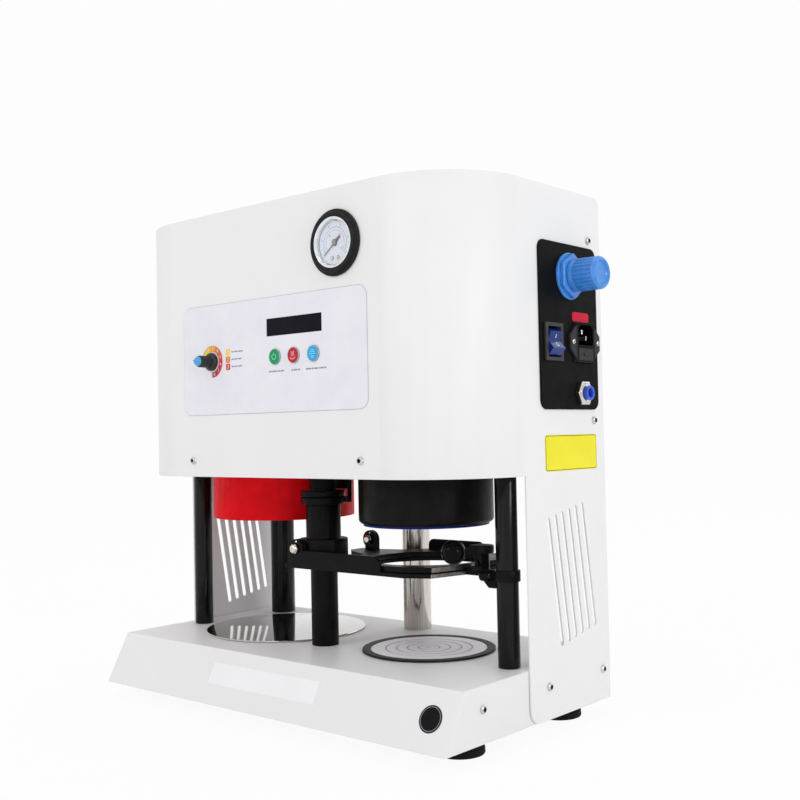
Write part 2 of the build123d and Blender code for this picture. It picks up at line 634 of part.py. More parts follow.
def housing_floor():
    """Plate under the hood, open for the heater and the chamber, with a front flange."""
    inset = SHEET + GAP
    floor = hood_block(inset, REAR_INNER_Y - GAP, FLOOR_Z, FLOOR_TOP_Z)
    floor -= disc(CHAMBER_R + CUT, FLOOR_Z - CUT, FLOOR_TOP_Z + CUT, FORM_X, FORM_Y)
    floor -= disc(HEATER_R + GAP, FLOOR_Z - CUT, FLOOR_TOP_Z + CUT, HEAT_X, HEAT_Y)
    ys = (HOOD_FRONT_Y + inset, HOOD_FRONT_Y + inset + INNER_SHEET)
    xs = (-FLOOR_FLANGE_HALF, FLOOR_FLANGE_HALF)
    floor += block(xs, ys, (FLOOR_Z, FLOOR_Z + FLOOR_FLANGE_H))
    return floor - front_screw_holes(ys[0] - CUT, ys[1] + CUT)


def slope_y(z, inset=0.0):
    """Front face of the base at a height, this far inside the outer sheet."""
    rise = z - BASE_BOTTOM_Z
    return BASE_FRONT_Y + rise / math.tan(SLOPE_ANGLE) + inset / math.sin(SLOPE_ANGLE)


def base_block(inset, z_low, z_high):
    """The base's body between two heights, this far inside the outer sheet."""
    rear = BASE_REAR_Y - inset
    half = BASE_HALF_W - inset
    outline = [
        (-half, slope_y(z_low, inset), z_low),
        (-half, slope_y(z_high, inset), z_high),
        (-half, rear, z_high),
        (-half, rear, z_low),
    ]
    return prism(outline, (2 * half, 0, 0))


def base_cover():
    """Folded tray with a sloping front, open underneath."""
    cover = base_block(0, BASE_BOTTOM_Z, BASE_TOP_Z)
    cover -= base_block(INNER_SHEET, BASE_BOTTOM_Z - CUT, BASE_TOP_Z - INNER_SHEET)
    cover -= disc(PLATE_R + GAP, BASE_BOTTOM_Z, BASE_TOP_Z + CUT, FORM_X, FORM_Y)
    places = LEG_SCREWS + BASE_SCREWS
    return cover - side_screw_holes(places, BASE_HALF_W - INNER_SHEET - CUT, BASE_HALF_W + CUT)


def base_plate():
    """Bottom plate with upright side flanges."""
    inset = INNER_SHEET + GAP
    half = BASE_HALF_W - inset
    plate = base_block(inset, BASE_BOTTOM_Z, BASE_BOTTOM_Z + INNER_SHEET)
    ys = (BASE_PLATE_FLANGE_FRONT_Y, BASE_REAR_Y - inset)
    zs = (BASE_BOTTOM_Z, BASE_BOTTOM_Z + BASE_PLATE_FLANGE_H)
    plate += [block((half - INNER_SHEET, half), ys, zs), block((-half, INNER_SHEET - half), ys, zs)]
    places = LEG_SCREWS + BASE_SCREWS
    return plate - side_screw_holes(places, half - INNER_SHEET - CUT, half + CUT)


def rubber_feet():
    """Four round feet under the bottom plate."""
    feet = []
    for x in (-FOOT_X, FOOT_X):
        for y in FOOT_YS:
            foot = disc(FOOT_R, 0, FOOT_H, x, y)
            feet.append(chamfer(foot.edges().sort_by(Axis.Z)[0], FOOT_EDGE))
    return group(feet)


def button_head_screw(place, direction):
    """A button-head screw seated at a place, with its head pointing in a direction."""
    head = Pos(0, 0, SCREW_HEAD_H / 2) * Cylinder(SCREW_HEAD_R, SCREW_HEAD_H)
    head = fillet(head.edges().sort_by(Axis.Z)[-1], SCREW_HEAD_H * 0.7)
    shank = Pos(0, 0, -SCREW_LENGTH / 2) * Cylinder(SCREW_R, SCREW_LENGTH)
    return Plane(origin=place, z_dir=direction) * (head + shank)


def housing_screws():
    """Identical screws of the housing and the base."""
    screws = []
    for side in (1, -1):
        for y, z in HOOD_SIDE_SCREWS + LEG_SCREWS:
            screws.append(button_head_screw((side * SIDE_X, y, z), (side, 0, 0)))
        for y, z in BASE_SCREWS:
            screws.append(button_head_screw((side * BASE_HALF_W, y, z), (side, 0, 0)))
    for x in FRONT_SCREW_XS:
        screws.append(button_head_screw((x, HOOD_FRONT_Y, FRONT_SCREW_Z), (0, -1, 0)))
    return group(screws)


# ================================================================ columns and posts
def front_posts():
    """Two slim posts beside the work space."""
    return group([disc(FRONT_POST_R, BASE_TOP_Z, FLOOR_Z, *at) for at in (LEFT_POST, RIGHT_POST)])


def rear_post():
    """Thick post at the left rear."""
    return disc(REAR_POST_R, BASE_TOP_Z, FLOOR_Z, *REAR_POST)


def steel_riser_tube():
    """Brushed tube that joins the base to the hood."""
    return pipe(RISER_R, RISER_R - RISER_WALL, BASE_TOP_Z, FLOOR_Z, *RISER)


def pivot_column():
    """Column that the foil carrier slides and swings on."""
    return pipe(COLUMN_R, COLUMN_BORE_R, BASE_TOP_Z, FLOOR_Z, COLUMN_X, COLUMN_Y)


# ================================================================ forming and heating stations
def forming_plate():
    """Round vacuum plate with ring grooves, a row of holes and a middle slot."""
    low_z = PLATE_TOP_Z - PLATE_T
    plate = disc(PLATE_R, low_z, PLATE_TOP_Z, FORM_X, FORM_Y)
    for number in range(1, GROOVE_COUNT + 1):
        middle = number * GROOVE_PITCH
        plate -= pipe(
            middle + GROOVE_W / 2,
            middle - GROOVE_W / 2,
            PLATE_TOP_Z - GROOVE_DEPTH,
            PLATE_TOP_Z + CUT,
            FORM_X,
            FORM_Y,
        )
    span = (VACUUM_HOLE_COUNT - 1) / 2
    for number in range(VACUUM_HOLE_COUNT):
        x = FORM_X + (number - span) * VACUUM_HOLE_PITCH
        plate -= disc(VACUUM_HOLE_R, low_z - CUT, PLATE_TOP_Z + CUT, x, FORM_Y)
    slot = Pos(FORM_X, FORM_Y, low_z - CUT) * Rot(0, 0, 90) * SlotOverall(*CENTRE_SLOT)
    return plate - extrude(slot, PLATE_T + 2 * CUT)


def forming_gasket():
    """Flat rubber ring round the forming plate."""
    top_z = BASE_TOP_Z + GASKET_PROUD
    return pipe(GASKET_R, PLATE_R + GAP, BASE_TOP_Z, top_z, FORM_X, FORM_Y)


def vacuum_manifold():
    """Dish under the forming plate, with a side port for the vacuum line."""
    seat_z = PLATE_TOP_Z - PLATE_T
    top_z = BASE_TOP_Z - INNER_SHEET
    low_z = top_z - MANIFOLD_H
    dish = disc(MANIFOLD_R, low_z, top_z, FORM_X, FORM_Y)
    dish -= disc(PLATE_R + GAP, seat_z, top_z + CUT, FORM_X, FORM_Y)
    dish -= disc(PLATE_R - MANIFOLD_LEDGE, seat_z - MANIFOLD_CAVITY_H, seat_z + CUT, FORM_X, FORM_Y)
    port_z = seat_z - MANIFOLD_CAVITY_H / 2
    rim_y = FORM_Y + MANIFOLD_R
    end_y = rim_y + MANIFOLD_PORT_L
    dish += round_y(MANIFOLD_PORT_R, rim_y - MANIFOLD_LEDGE, end_y, FORM_X, port_z)
    return dish - round_y(MANIFOLD_PORT_R / 2, FORM_Y + PLATE_R - MANIFOLD_LEDGE - CUT, end_y + CUT, FORM_X, port_z)


def reflector_disc():
    """Mirror disc under the heater."""
    return disc(REFLECTOR_R, BASE_TOP_Z, BASE_TOP_Z + REFLECTOR_T, HEAT_X, HEAT_Y)


def heater_housing():
    """Red drum, open underneath, hung from the floor by a flange."""
    drum = disc(HEATER_R, HEATER_BOTTOM_Z, HEATER_TOP_Z, HEAT_X, HEAT_Y)
    drum += disc(HEATER_FLANGE_R, FLOOR_TOP_Z, FLOOR_TOP_Z + HEATER_WALL, HEAT_X, HEAT_Y)
    inner_r = HEATER_R - HEATER_WALL
    return drum - disc(inner_r, HEATER_BOTTOM_Z - CUT, HEATER_TOP_Z - HEATER_WALL, HEAT_X, HEAT_Y)


def heater_insulation():
    """Insulating disc under the drum's top, with holes for the element's terminals."""
    top_z = HEATER_TOP_Z - HEATER_WALL
    pad = disc(HEATER_R - HEATER_WALL - GAP, top_z - INSULATION_T, top_z, HEAT_X, HEAT_Y)
    for x in element_terminals():
        pad -= disc(TERMINAL_R + SEAT_FIT, top_z - INSULATION_T - CUT, top_z + CUT, x, HEAT_Y)
    return pad


def element_terminals():
    """X places of the element's two upright terminals."""
    return [HEAT_X + side * sum(ELEMENT_RADII) / 2 for side in (-1, 1)]


def heater_element():
    """Two tubular heating rings joined by flat bars, with upright terminals."""
    inner, outer = ELEMENT_RADII
    element = Pos(HEAT_X, HEAT_Y, ELEMENT_Z) * (Torus(inner, ELEMENT_TUBE_R) + Torus(outer, ELEMENT_TUBE_R))
    top_z = HEATER_TOP_Z - HEATER_WALL - GAP
    for x in element_terminals():
        element += block(about(x, outer - inner), about(HEAT_Y, ELEMENT_BAR_W), about(ELEMENT_Z, ELEMENT_BAR_T))
        element += disc(TERMINAL_R, ELEMENT_Z, top_z, x, HEAT_Y)
    return element


# ================================================================ pressure chamber
def pressure_chamber():
    """Black bell that comes down on the clamped foil."""
    bell = disc(CHAMBER_R, CHAMBER_BOTTOM_Z, CHAMBER_TOP_Z, FORM_X, FORM_Y)
    bell = fillet(bell.edges().sort_by(Axis.Z)[0], CHAMBER_EDGE_R)
    hollow_top = CHAMBER_TOP_Z - CHAMBER_TOP_T
    bell -= disc(CHAMBER_R - CHAMBER_WALL, CHAMBER_BOTTOM_Z - CUT, hollow_top, FORM_X, FORM_Y)
    bell -= pipe(
        SEAL_R + SEAL_W / 2,
        SEAL_R - SEAL_W / 2,
        CHAMBER_BOTTOM_Z - CUT,
        CHAMBER_BOTTOM_Z + SEAL_DEPTH,
        FORM_X,
        FORM_Y,
    )
    return bell - disc(ROD_SPIGOT_R + SEAT_FIT, hollow_top - CUT, CHAMBER_TOP_Z + CUT, FORM_X, FORM_Y)


def chamber_seal():
    """Blue seal in the chamber's lower rim."""
    return pipe(
        SEAL_R + SEAL_W / 2 - SEAT_FIT,
        SEAL_R - SEAL_W / 2 + SEAT_FIT,
        CHAMBER_BOTTOM_Z - SEAL_PROUD,
        CHAMBER_BOTTOM_Z + SEAL_DEPTH,
        FORM_X,
        FORM_Y,
    )


BRIDGE_HALF_X = CHAMBER_R + BRIDGE_CLEAR
BRIDGE_LOW_Z = CHAMBER_TOP_Z + BRIDGE_CLEAR
BRIDGE_TOP_Z = BRIDGE_LOW_Z + BRIDGE_SHEET
CYLINDER_CAVITY_Z = BRIDGE_TOP_Z + CYLINDER_CAP_H
CYLINDER_TOP_Z = COVER_TOP_Z - COVER_SHEET - CYLINDER_HEADROOM
CYLINDER_CAVITY_TOP_Z = CYLINDER_TOP_Z - CYLINDER_CAP_H


def cylinder_bridge():
    """Bent bracket over the chamber that carries the air cylinder."""
    outer = FORM_X - BRIDGE_HALF_X - BRIDGE_SHEET, FORM_X + BRIDGE_HALF_X + BRIDGE_SHEET
    ys = about(FORM_Y, 2 * BRIDGE_HALF_Y)
    bridge = block(outer, ys, (FLOOR_TOP_Z, BRIDGE_TOP_Z))
    inner = FORM_X - BRIDGE_HALF_X, FORM_X + BRIDGE_HALF_X
    bridge -= block(inner, (ys[0] - CUT, ys[1] + CUT), (FLOOR_TOP_Z - CUT, BRIDGE_LOW_Z))
    return bridge - disc(ROD_R + CUT, BRIDGE_LOW_Z - CUT, BRIDGE_TOP_Z + CUT, FORM_X, FORM_Y)


def air_cylinder():
    """Pneumatic cylinder: two square caps and a round barrel."""
    xs, ys = about(FORM_X, CYLINDER_CAP), about(FORM_Y, CYLINDER_CAP)
    body = block(xs, ys, (BRIDGE_TOP_Z, CYLINDER_CAVITY_Z))
    body += block(xs, ys, (CYLINDER_CAVITY_TOP_Z, CYLINDER_TOP_Z))
    barrel_r = CYLINDER_BORE_R + CYLINDER_WALL
    body += disc(barrel_r, CYLINDER_CAVITY_Z - CUT, CYLINDER_CAVITY_TOP_Z + CUT, FORM_X, FORM_Y)
    body -= disc(CYLINDER_BORE_R, CYLINDER_CAVITY_Z, CYLINDER_CAVITY_TOP_Z, FORM_X, FORM_Y)
    return body - disc(ROD_R + RUN_FIT, BRIDGE_TOP_Z - CUT, CYLINDER_CAVITY_Z + CUT, FORM_X, FORM_Y)


def piston_rod():
    """Rod with its piston, screwed into the chamber's top."""
    piston_top = CYLINDER_CAVITY_TOP_Z - PISTON_REST_GAP
    piston_low = piston_top - PISTON_T
    rod = disc(ROD_R, CHAMBER_TOP_Z, piston_low + CUT, FORM_X, FORM_Y)
    rod += disc(CYLINDER_BORE_R - RUN_FIT, piston_low, piston_top, FORM_X, FORM_Y)
    return rod + disc(ROD_SPIGOT_R, CHAMBER_TOP_Z - CHAMBER_TOP_T, CHAMBER_TOP_Z + CUT, FORM_X, FORM_Y)


# ================================================================ foil carrier
FRAME_FRONT_Y = FORM_Y - FRAME_FRONT
FRAME_REAR_Y = FORM_Y + FRAME_REAR
FRAME_RIGHT_X = FORM_X + FRAME_RIGHT
RING_RIGHT_X = FORM_X + RING_RIGHT
RING_FRONT_Y = FRAME_FRONT_Y + FLANGE_T + GAP
RING_ARM_REAR_Y = REAR_LUG_Y - GAP


def right_side(front_y, right_x):
    """Plan points of the carrier's front-right, right and rear-right edges."""
    return [
        (right_x - SIDE_START, front_y),
        (right_x - SIDE_BEND_X, front_y + SIDE_BEND_Y),
        (right_x, front_y + SIDE_STRAIGHT),
        (right_x, FRAME_REAR_Y - REAR_CORNER_Y),
        (right_x - REAR_CORNER_X, FRAME_REAR_Y),
        (RING_FLANGE_XS[0], FRAME_REAR_Y),
    ]


def flat(points, z_low, z_high):
    """A plate with a plan outline."""
    return prism([(x, y, z_low) for x, y in points], (0, 0, z_high - z_low))


def hinge_lug(y_low, x_left):
    """An upright lug round the clamp's hinge axis, standing on the plate below it."""
    ys = (y_low, y_low + LUG_T)
    lug = block((x_left, HINGE_X + LUG_R), ys, (RING_BOTTOM_Z, HINGE_Z))
    return lug + round_y(LUG_R, *ys, HINGE_X, HINGE_Z)


def lower_frame():
    """Lower plate of the carrier, with front flange, hinge lugs and the ear for the clamp."""
    left_x = COLUMN_X - FRAME_LEFT
    lug_left, lug_right = HINGE_X - LUG_R, HINGE_X + LUG_R
    tab_y = REAR_LUG_Y + LUG_T + BOLT_HEAD_L + CUT
    outline = [
        (left_x, FRAME_FRONT_Y),
        *right_side(FRAME_FRONT_Y, FRAME_RIGHT_X),
        (RISER[0] + LUG_R, tab_y),
        (lug_left, tab_y),
        (lug_left, REAR_LUG_Y),
        (lug_right - LUG_T, REAR_LUG_Y),
        (lug_right - LUG_T, COLUMN_Y + HUB_R),
        (left_x, COLUMN_Y),
    ]
    frame = flat(outline, FRAME_BOTTOM_Z, FRAME_TOP_Z)
    ear_ys = about(STUD_Y, 2 * EAR_R)
    frame += block((FRAME_RIGHT_X - EAR_R, STUD_X), ear_ys, (FRAME_BOTTOM_Z, FRAME_TOP_Z))
    frame += disc(EAR_R, FRAME_BOTTOM_Z, FRAME_TOP_Z, STUD_X, STUD_Y)
    front_ys = (FRAME_FRONT_Y, FRAME_FRONT_Y + FLANGE_T)
    flange = block((lug_left, FRONT_FLANGE_END_X), front_ys, (FRAME_BOTTOM_Z, FRAME_BOTTOM_Z + FRONT_FLANGE_H))
    corner = flange.edges().filter_by(Axis.Y).group_by(Axis.Z)[-1].sort_by(Axis.X)[-1]
    frame += fillet(corner, FLANGE_CORNER_R)
    for low_y in (FRAME_FRONT_Y, REAR_LUG_Y):
        lug = hinge_lug(low_y, lug_left)
        lug += block((lug_left, lug_right), (low_y, low_y + LUG_T), (FRAME_BOTTOM_Z, RING_BOTTOM_Z + CUT))
        frame += lug
        frame -= round_y(HINGE_BOLT_R + RUN_FIT, low_y - CUT, low_y + LUG_T + CUT, HINGE_X, HINGE_Z)
    zs = (FRAME_BOTTOM_Z - CUT, FRAME_TOP_Z + CUT)
    frame -= disc(FRAME_OPENING_R, *zs, FORM_X, FORM_Y)
    frame -= disc(STUD_R + SEAT_FIT, *zs, STUD_X, STUD_Y)
    return frame - disc(BUSHING_R + GAP, *zs, COLUMN_X, COLUMN_Y)


def clamp_ring():
    """Upper ring that holds the foil down, hinged on two lugs."""
    hub_right_x = COLUMN_X + HUB_R + GAP
    arm_left_x = HINGE_X - LUG_R - LUG_T
    outline = [
        (hub_right_x, RING_FRONT_Y),
        *right_side(RING_FRONT_Y, RING_RIGHT_X),
        (RISER[0] + LUG_R, RING_ARM_REAR_Y + LUG_R),
        (HINGE_X + LUG_R, RING_ARM_REAR_Y),
        (arm_left_x, RING_ARM_REAR_Y),
        (arm_left_x, RING_ARM_REAR_Y - 2 * LUG_R),
        (HINGE_X, COLUMN_Y + 2 * HUB_R),
        (hub_right_x, COLUMN_Y + HUB_R + LUG_R),
    ]
    ring = flat(outline, RING_BOTTOM_Z, RING_TOP_Z)
    front_ys = (RING_FRONT_Y, RING_FRONT_Y + LUG_T)
    ring += block((HINGE_X, RING_FRONT_FLANGE_END_X), front_ys, (RING_BOTTOM_Z, RING_BOTTOM_Z + RING_FRONT_FLANGE_H))
    rear_ys = (FRAME_REAR_Y - RING_FLANGE_T, FRAME_REAR_Y)
    rear_flange = block(RING_FLANGE_XS, rear_ys, (RING_BOTTOM_Z, RING_TOP_Z + RING_FLANGE_H))
    ring += fillet(rear_flange.edges().filter_by(Axis.Y).group_by(Axis.Z)[-1], RING_FLANGE_END_R)
    for low_y in (RING_FRONT_Y, RING_ARM_REAR_Y - LUG_T):
        ring += hinge_lug(low_y, HINGE_X)
        ring -= round_y(HINGE_BOLT_R + SEAT_FIT, low_y - CUT, low_y + LUG_T + CUT, HINGE_X, HINGE_Z)
    return ring - disc(RING_OPENING_R, RING_BOTTOM_Z - CUT, RING_TOP_Z + CUT, FORM_X, FORM_Y)


def dome_nut(y_seat):
    """A cap nut whose flat face looks back along +Y from its seat."""
    nut = round_y(DOME_NUT_R, y_seat - DOME_NUT_L, y_seat, HINGE_X, HINGE_Z)
    nut = fillet(nut.edges().sort_by(Axis.Y)[0], DOME_NUT_L * 0.6)
    return nut - round_y(HINGE_BOLT_R + SEAT_FIT, y_seat - DOME_NUT_L / 2, y_seat + CUT, HINGE_X, HINGE_Z)


def hinge_bolts():
    """Two hinge bolts with their cap nuts."""
    front_seat = FRAME_FRONT_Y - GAP
    rear_seat = RING_ARM_REAR_Y - LUG_T
    rear_head = REAR_LUG_Y + LUG_T + GAP
    half_nut = DOME_NUT_L / 2
    front_bolt = round_y(HINGE_BOLT_R, front_seat - half_nut, RING_FRONT_Y + LUG_T, HINGE_X, HINGE_Z)
    rear_bolt = round_y(HINGE_BOLT_R, rear_seat - half_nut, rear_head, HINGE_X, HINGE_Z)
    rear_bolt += round_y(BOLT_HEAD_R, rear_head, rear_head + BOLT_HEAD_L, HINGE_X, HINGE_Z)
    return group([front_bolt, dome_nut(front_seat), rear_bolt, dome_nut(rear_seat)])


def carrier_bushing():
    """Flanged bush that slides on the column without turning."""
    bush = disc(BUSHING_R, FRAME_BOTTOM_Z, BUSHING_FLANGE_Z, COLUMN_X, COLUMN_Y)
    bush += disc(BUSHING_FLANGE_R, BUSHING_FLANGE_Z, BUSHING_FLANGE_Z + BUSHING_FLANGE_T, COLUMN_X, COLUMN_Y)
    top_z = BUSHING_FLANGE_Z + BUSHING_FLANGE_T + CUT
    return bush - disc(COLUMN_R + RUN_FIT, FRAME_BOTTOM_Z - CUT, top_z, COLUMN_X, COLUMN_Y)


def carrier_sleeve():
    """Sleeve and hub that turn on the bush and carry the frame."""
    sleeve = disc(SLEEVE_R, FRAME_TOP_Z, BUSHING_FLANGE_Z - GAP, COLUMN_X, COLUMN_Y)
    sleeve += disc(HUB_R, FRAME_TOP_Z, HUB_TOP_Z, COLUMN_X, COLUMN_Y)
    return sleeve - disc(SLEEVE_BORE_R, FRAME_TOP_Z - CUT, BUSHING_FLANGE_Z + CUT, COLUMN_X, COLUMN_Y)


def trigger_cam():
    """Collar on the sleeve whose arm and pin work the position switch."""
    z_top = CAM_COLLAR_Z + CAM_COLLAR_H
    cam = disc(CAM_COLLAR_R, CAM_COLLAR_Z, z_top, 0, 0)
    arm_z = (CAM_COLLAR_Z + CAM_ARM_W / 6, z_top)
    cam += block((SLEEVE_R, CAM_PIN_REACH), about(0, CAM_ARM_W), arm_z)
    cam += disc(CAM_PIN_R, arm_z[0], CAM_COLLAR_Z + CAM_COLLAR_H + CAM_PIN_H, CAM_PIN_REACH, 0)
    cam -= disc(SLEEVE_R + SEAT_FIT, CAM_COLLAR_Z - CUT, z_top + CUT, 0, 0)
    return Pos(COLUMN_X, COLUMN_Y, 0) * Rot(0, 0, CAM_ANGLE) * cam


# ================================================================ clamp lever
def clamp_stud():
    """Stud in the frame's ear that the clamp lever turns on."""
    return disc(STUD_R, FRAME_BOTTOM_Z, LEVER_HEAD_Z + LEVER_HEAD_H / 2, STUD_X, STUD_Y)


def clamp_lever():
    """Round head, hexagonal neck and cam in one, with the arm of the ball knob."""
    cam_z = FRAME_TOP_Z + GAP
    lever = disc(LEVER_CAM_R, cam_z, cam_z + LEVER_CAM_H, STUD_X - LEVER_CAM_OFFSET, STUD_Y)
    lever += hexagon_z(2 * LEVER_NECK_R, cam_z, LEVER_HEAD_Z + CUT, STUD_X, STUD_Y)
    head = disc(LEVER_HEAD_R, LEVER_HEAD_Z, LEVER_HEAD_Z + LEVER_HEAD_H, STUD_X, STUD_Y)
    lever += fillet(head.edges(), LEVER_HEAD_H * 0.2)
    span = math.hypot(BALL_DX, BALL_DY)
    arm_end = span - BALL_R + BALL_BORE_DEPTH - GAP
    arm = disc(LEVER_ARM_R, STUD_R + CUT, arm_end)
    ball_way = (BALL_DX, BALL_DY, 0)
    middle = (STUD_X, STUD_Y, LEVER_HEAD_Z + LEVER_HEAD_H / 2)
    lever += Plane(origin=middle, z_dir=ball_way) * arm
    bore_top = LEVER_HEAD_Z + LEVER_HEAD_H / 2 + GAP
    return lever - disc(STUD_R + RUN_FIT, cam_z - CUT, bore_top, STUD_X, STUD_Y)


def ball_knob():
    """Black ball on the end of the clamp lever."""
    middle = (STUD_X, STUD_Y, LEVER_HEAD_Z + LEVER_HEAD_H / 2)
    span = math.hypot(BALL_DX, BALL_DY)
    bore = disc(LEVER_ARM_R + SEAT_FIT, span - BALL_R - CUT, span - BALL_R + BALL_BORE_DEPTH)
    ball = Pos(0, 0, span) * Sphere(BALL_R) - bore
    return Plane(origin=middle, z_dir=(BALL_DX, BALL_DY, 0)) * ball


# ================================================================ stop collar and switch
def stop_collar():
    """Clamped collar on the right post with the plate and boss that stop the carrier."""
    x, y = RIGHT_POST
    collar = disc(STOP_R, STOP_Z, STOP_Z + STOP_H, x, y)
    z_top = STOP_PLATE_Z + STOP_PLATE_H
    outline = [
        (STOP_PLATE_X, STOP_PLATE_Y, z_top),
        (STOP_PLATE_X, STOP_PLATE_Y, STOP_PLATE_Z + STOP_PLATE_SLANT),
        (STOP_PLATE_X + STOP_PLATE_SLANT, STOP_PLATE_Y, STOP_PLATE_Z),
        (x, STOP_PLATE_Y, STOP_PLATE_Z),
        (x, STOP_PLATE_Y, z_top),
    ]
    collar += prism(outline, (0, STOP_PLATE_T, 0))
    boss_x = STOP_PLATE_X + CUT
    boss_y = STOP_PLATE_Y - STOP_BOSS_R + STOP_PLATE_T
    collar += round_x(STOP_BOSS_R, boss_x, boss_x + STOP_BOSS_L, boss_y, CATCH_Z)
    collar -= round_x(CATCH_R + SEAT_FIT, boss_x - CUT, CATCH_TIP_X + CATCH_L, boss_y, CATCH_Z)
    return collar - disc(FRONT_POST_R + SEAT_FIT, STOP_PLATE_Z - CUT, STOP_Z + STOP_H + CUT, x, y)


def ball_catch():
    """Spring plunger whose round nose meets the edge of the carrier's ear."""
    y = STOP_PLATE_Y - STOP_BOSS_R + STOP_PLATE_T
    catch = round_x(CATCH_R, CATCH_TIP_X, CATCH_TIP_X + CATCH_L, y, CATCH_Z)
    return fillet(catch.edges().sort_by(Axis.X)[0], CATCH_R * 0.8)


def position_switch():
    """Small switch under the floor, with a lever beside the trigger pin."""
    width, depth = SWITCH_SIZE
    switch = block(about(SWITCH_X, width), about(SWITCH_Y, depth), (SWITCH_BOTTOM_Z, FLOOR_Z))
    right_x = SWITCH_X + width / 2
    lever_ys = about(SWITCH_Y - depth / 4, CUT)
    return switch + block((right_x - CUT, right_x + SWITCH_LEVER_L), lever_ys, about(SWITCH_BOTTOM_Z + 4.0, 5.0))


# ================================================================ front controls
def control_label():
    """Thin control panel film with its openings."""
    label = rounded_plate_y(LABEL_XS, LABEL_ZS, LABEL_CORNER_R, FRONT_FACE_Y, HOOD_FRONT_Y)
    return label - control_openings(FRONT_FACE_Y - CUT, HOOD_FRONT_Y + CUT)


BOARD_Y = FRONT_INNER_Y + BOARD_BACK


def push_button(x):
    """One round button with a flange behind the shell."""
    back_y = BOARD_Y - SWITCH_TOWER_H - BUTTON_TRAVEL - GAP
    button = round_y(BUTTON_R, FRONT_FACE_Y - BUTTON_PROUD, back_y, x, BUTTON_Z)
    button = fillet(button.edges().sort_by(Axis.Y)[0], BUTTON_EDGE_R)
    flange_y = FRONT_INNER_Y + GAP
    return button + round_y(BUTTON_FLANGE_R, flange_y, flange_y + BUTTON_FLANGE_T, x, BUTTON_Z)


def green_button():
    """Left button."""
    return push_button(BUTTON_XS[0])


def red_button():
    """Middle button."""
    return push_button(BUTTON_XS[1])


def blue_button():
    """Right button."""
    return push_button(BUTTON_XS[2])


def control_board():
    """Circuit board on four stand-offs, with a switch behind each button."""
    board = block(BOARD_XS, (BOARD_Y, BOARD_Y + BOARD_T), BOARD_ZS)
    for x in (BOARD_XS[0] + STANDOFF_INSET, BOARD_XS[1] - STANDOFF_INSET):
        for z in (BOARD_ZS[0] + STANDOFF_INSET, BOARD_ZS[1] - STANDOFF_INSET):
            board += round_y(STANDOFF_R, FRONT_INNER_Y, BOARD_Y + CUT, x, z)
    for x in BUTTON_XS:
        board += round_y(SWITCH_TOWER_R, BOARD_Y - SWITCH_TOWER_H, BOARD_Y + CUT, x, BUTTON_Z)
    return board


def display_module():
    """Display with its window standing in the shell's opening."""
    xs = (DISPLAY_XS[0] - DISPLAY_RIM, DISPLAY_XS[1] + DISPLAY_RIM)
    zs = (DISPLAY_ZS[0] - DISPLAY_RIM, DISPLAY_ZS[1] + DISPLAY_RIM)
    module = block(xs, (FRONT_INNER_Y + GAP, BOARD_Y), zs)
    window_xs = (DISPLAY_XS[0] + GAP, DISPLAY_XS[1] - GAP)
    window_zs = (DISPLAY_ZS[0] + GAP, DISPLAY_ZS[1] - GAP)
    return module + block(window_xs, (FRONT_FACE_Y + DISPLAY_RECESS, BOARD_Y), window_zs)


def timer_knob():
    """Skirted knob with a coloured cap."""
    back_y = FRONT_FACE_Y - GAP
    knob = round_y(TIMER_SKIRT_R, back_y - TIMER_SKIRT_T, back_y, TIMER_X, TIMER_Z)
    knob += round_y(TIMER_BODY_R, HOOD_FRONT_Y - TIMER_BODY_L, back_y, TIMER_X, TIMER_Z)
    knob += round_y(TIMER_CAP_R, HOOD_FRONT_Y - TIMER_REACH, back_y, TIMER_X, TIMER_Z)
    shaft_end = back_y - TIMER_SHAFT_L - GAP
    return knob - round_y(TIMER_SHAFT_R + RUN_FIT, shaft_end, back_y + CUT, TIMER_X, TIMER_Z)


def timer_potentiometer():
    """Rotary control behind the shell, with its bush and shaft."""
    case_y = FRONT_INNER_Y + GAP
    control = round_y(TIMER_CASE_R, case_y, BOARD_Y, TIMER_X, TIMER_Z)
    control += round_y(TIMER_BUSH_R, HOOD_FRONT_Y, case_y + CUT, TIMER_X, TIMER_Z)
    tip_y = FRONT_FACE_Y - GAP - TIMER_SHAFT_L
    return control + round_y(TIMER_SHAFT_R, tip_y, case_y + CUT, TIMER_X, TIMER_Z)


GAUGE_FRONT_Y = HOOD_FRONT_Y - GAUGE_RING_PROUD
GAUGE_DIAL_Y = GAUGE_FRONT_Y + GAUGE_DIAL_DEPTH
GAUGE_BORE_R = GAUGE_CASE_R - GAUGE_CASE_WALL


def gauge_ring():
    """Stepped rubber ring round the gauge."""
    ring = round_y(GAUGE_RING_R, HOOD_FRONT_Y - GAUGE_RING_PROUD / 2, HOOD_FRONT_Y, GAUGE_X, GAUGE_Z)
    step_r = (GAUGE_RING_R + GAUGE_BEZEL_R) / 2
    ring += round_y(step_r, GAUGE_FRONT_Y, HOOD_FRONT_Y, GAUGE_X, GAUGE_Z)
    return ring - round_y(GAUGE_BEZEL_R + SEAT_FIT, GAUGE_FRONT_Y - CUT, HOOD_FRONT_Y + CUT, GAUGE_X, GAUGE_Z)


def gauge_case():
    """Gauge body with a bright front bezel."""
    back_y = GAUGE_FRONT_Y + GAUGE_CASE_L
    case = round_y(GAUGE_CASE_R, GAUGE_FRONT_Y, back_y, GAUGE_X, GAUGE_Z)
    case += round_y(GAUGE_BEZEL_R, GAUGE_FRONT_Y, GAUGE_FRONT_Y + GAUGE_BEZEL_T, GAUGE_X, GAUGE_Z)
    case -= round_y(GAUGE_BORE_R, GAUGE_FRONT_Y - CUT, GAUGE_DIAL_Y + GAUGE_DIAL_T, GAUGE_X, GAUGE_Z)
    return case


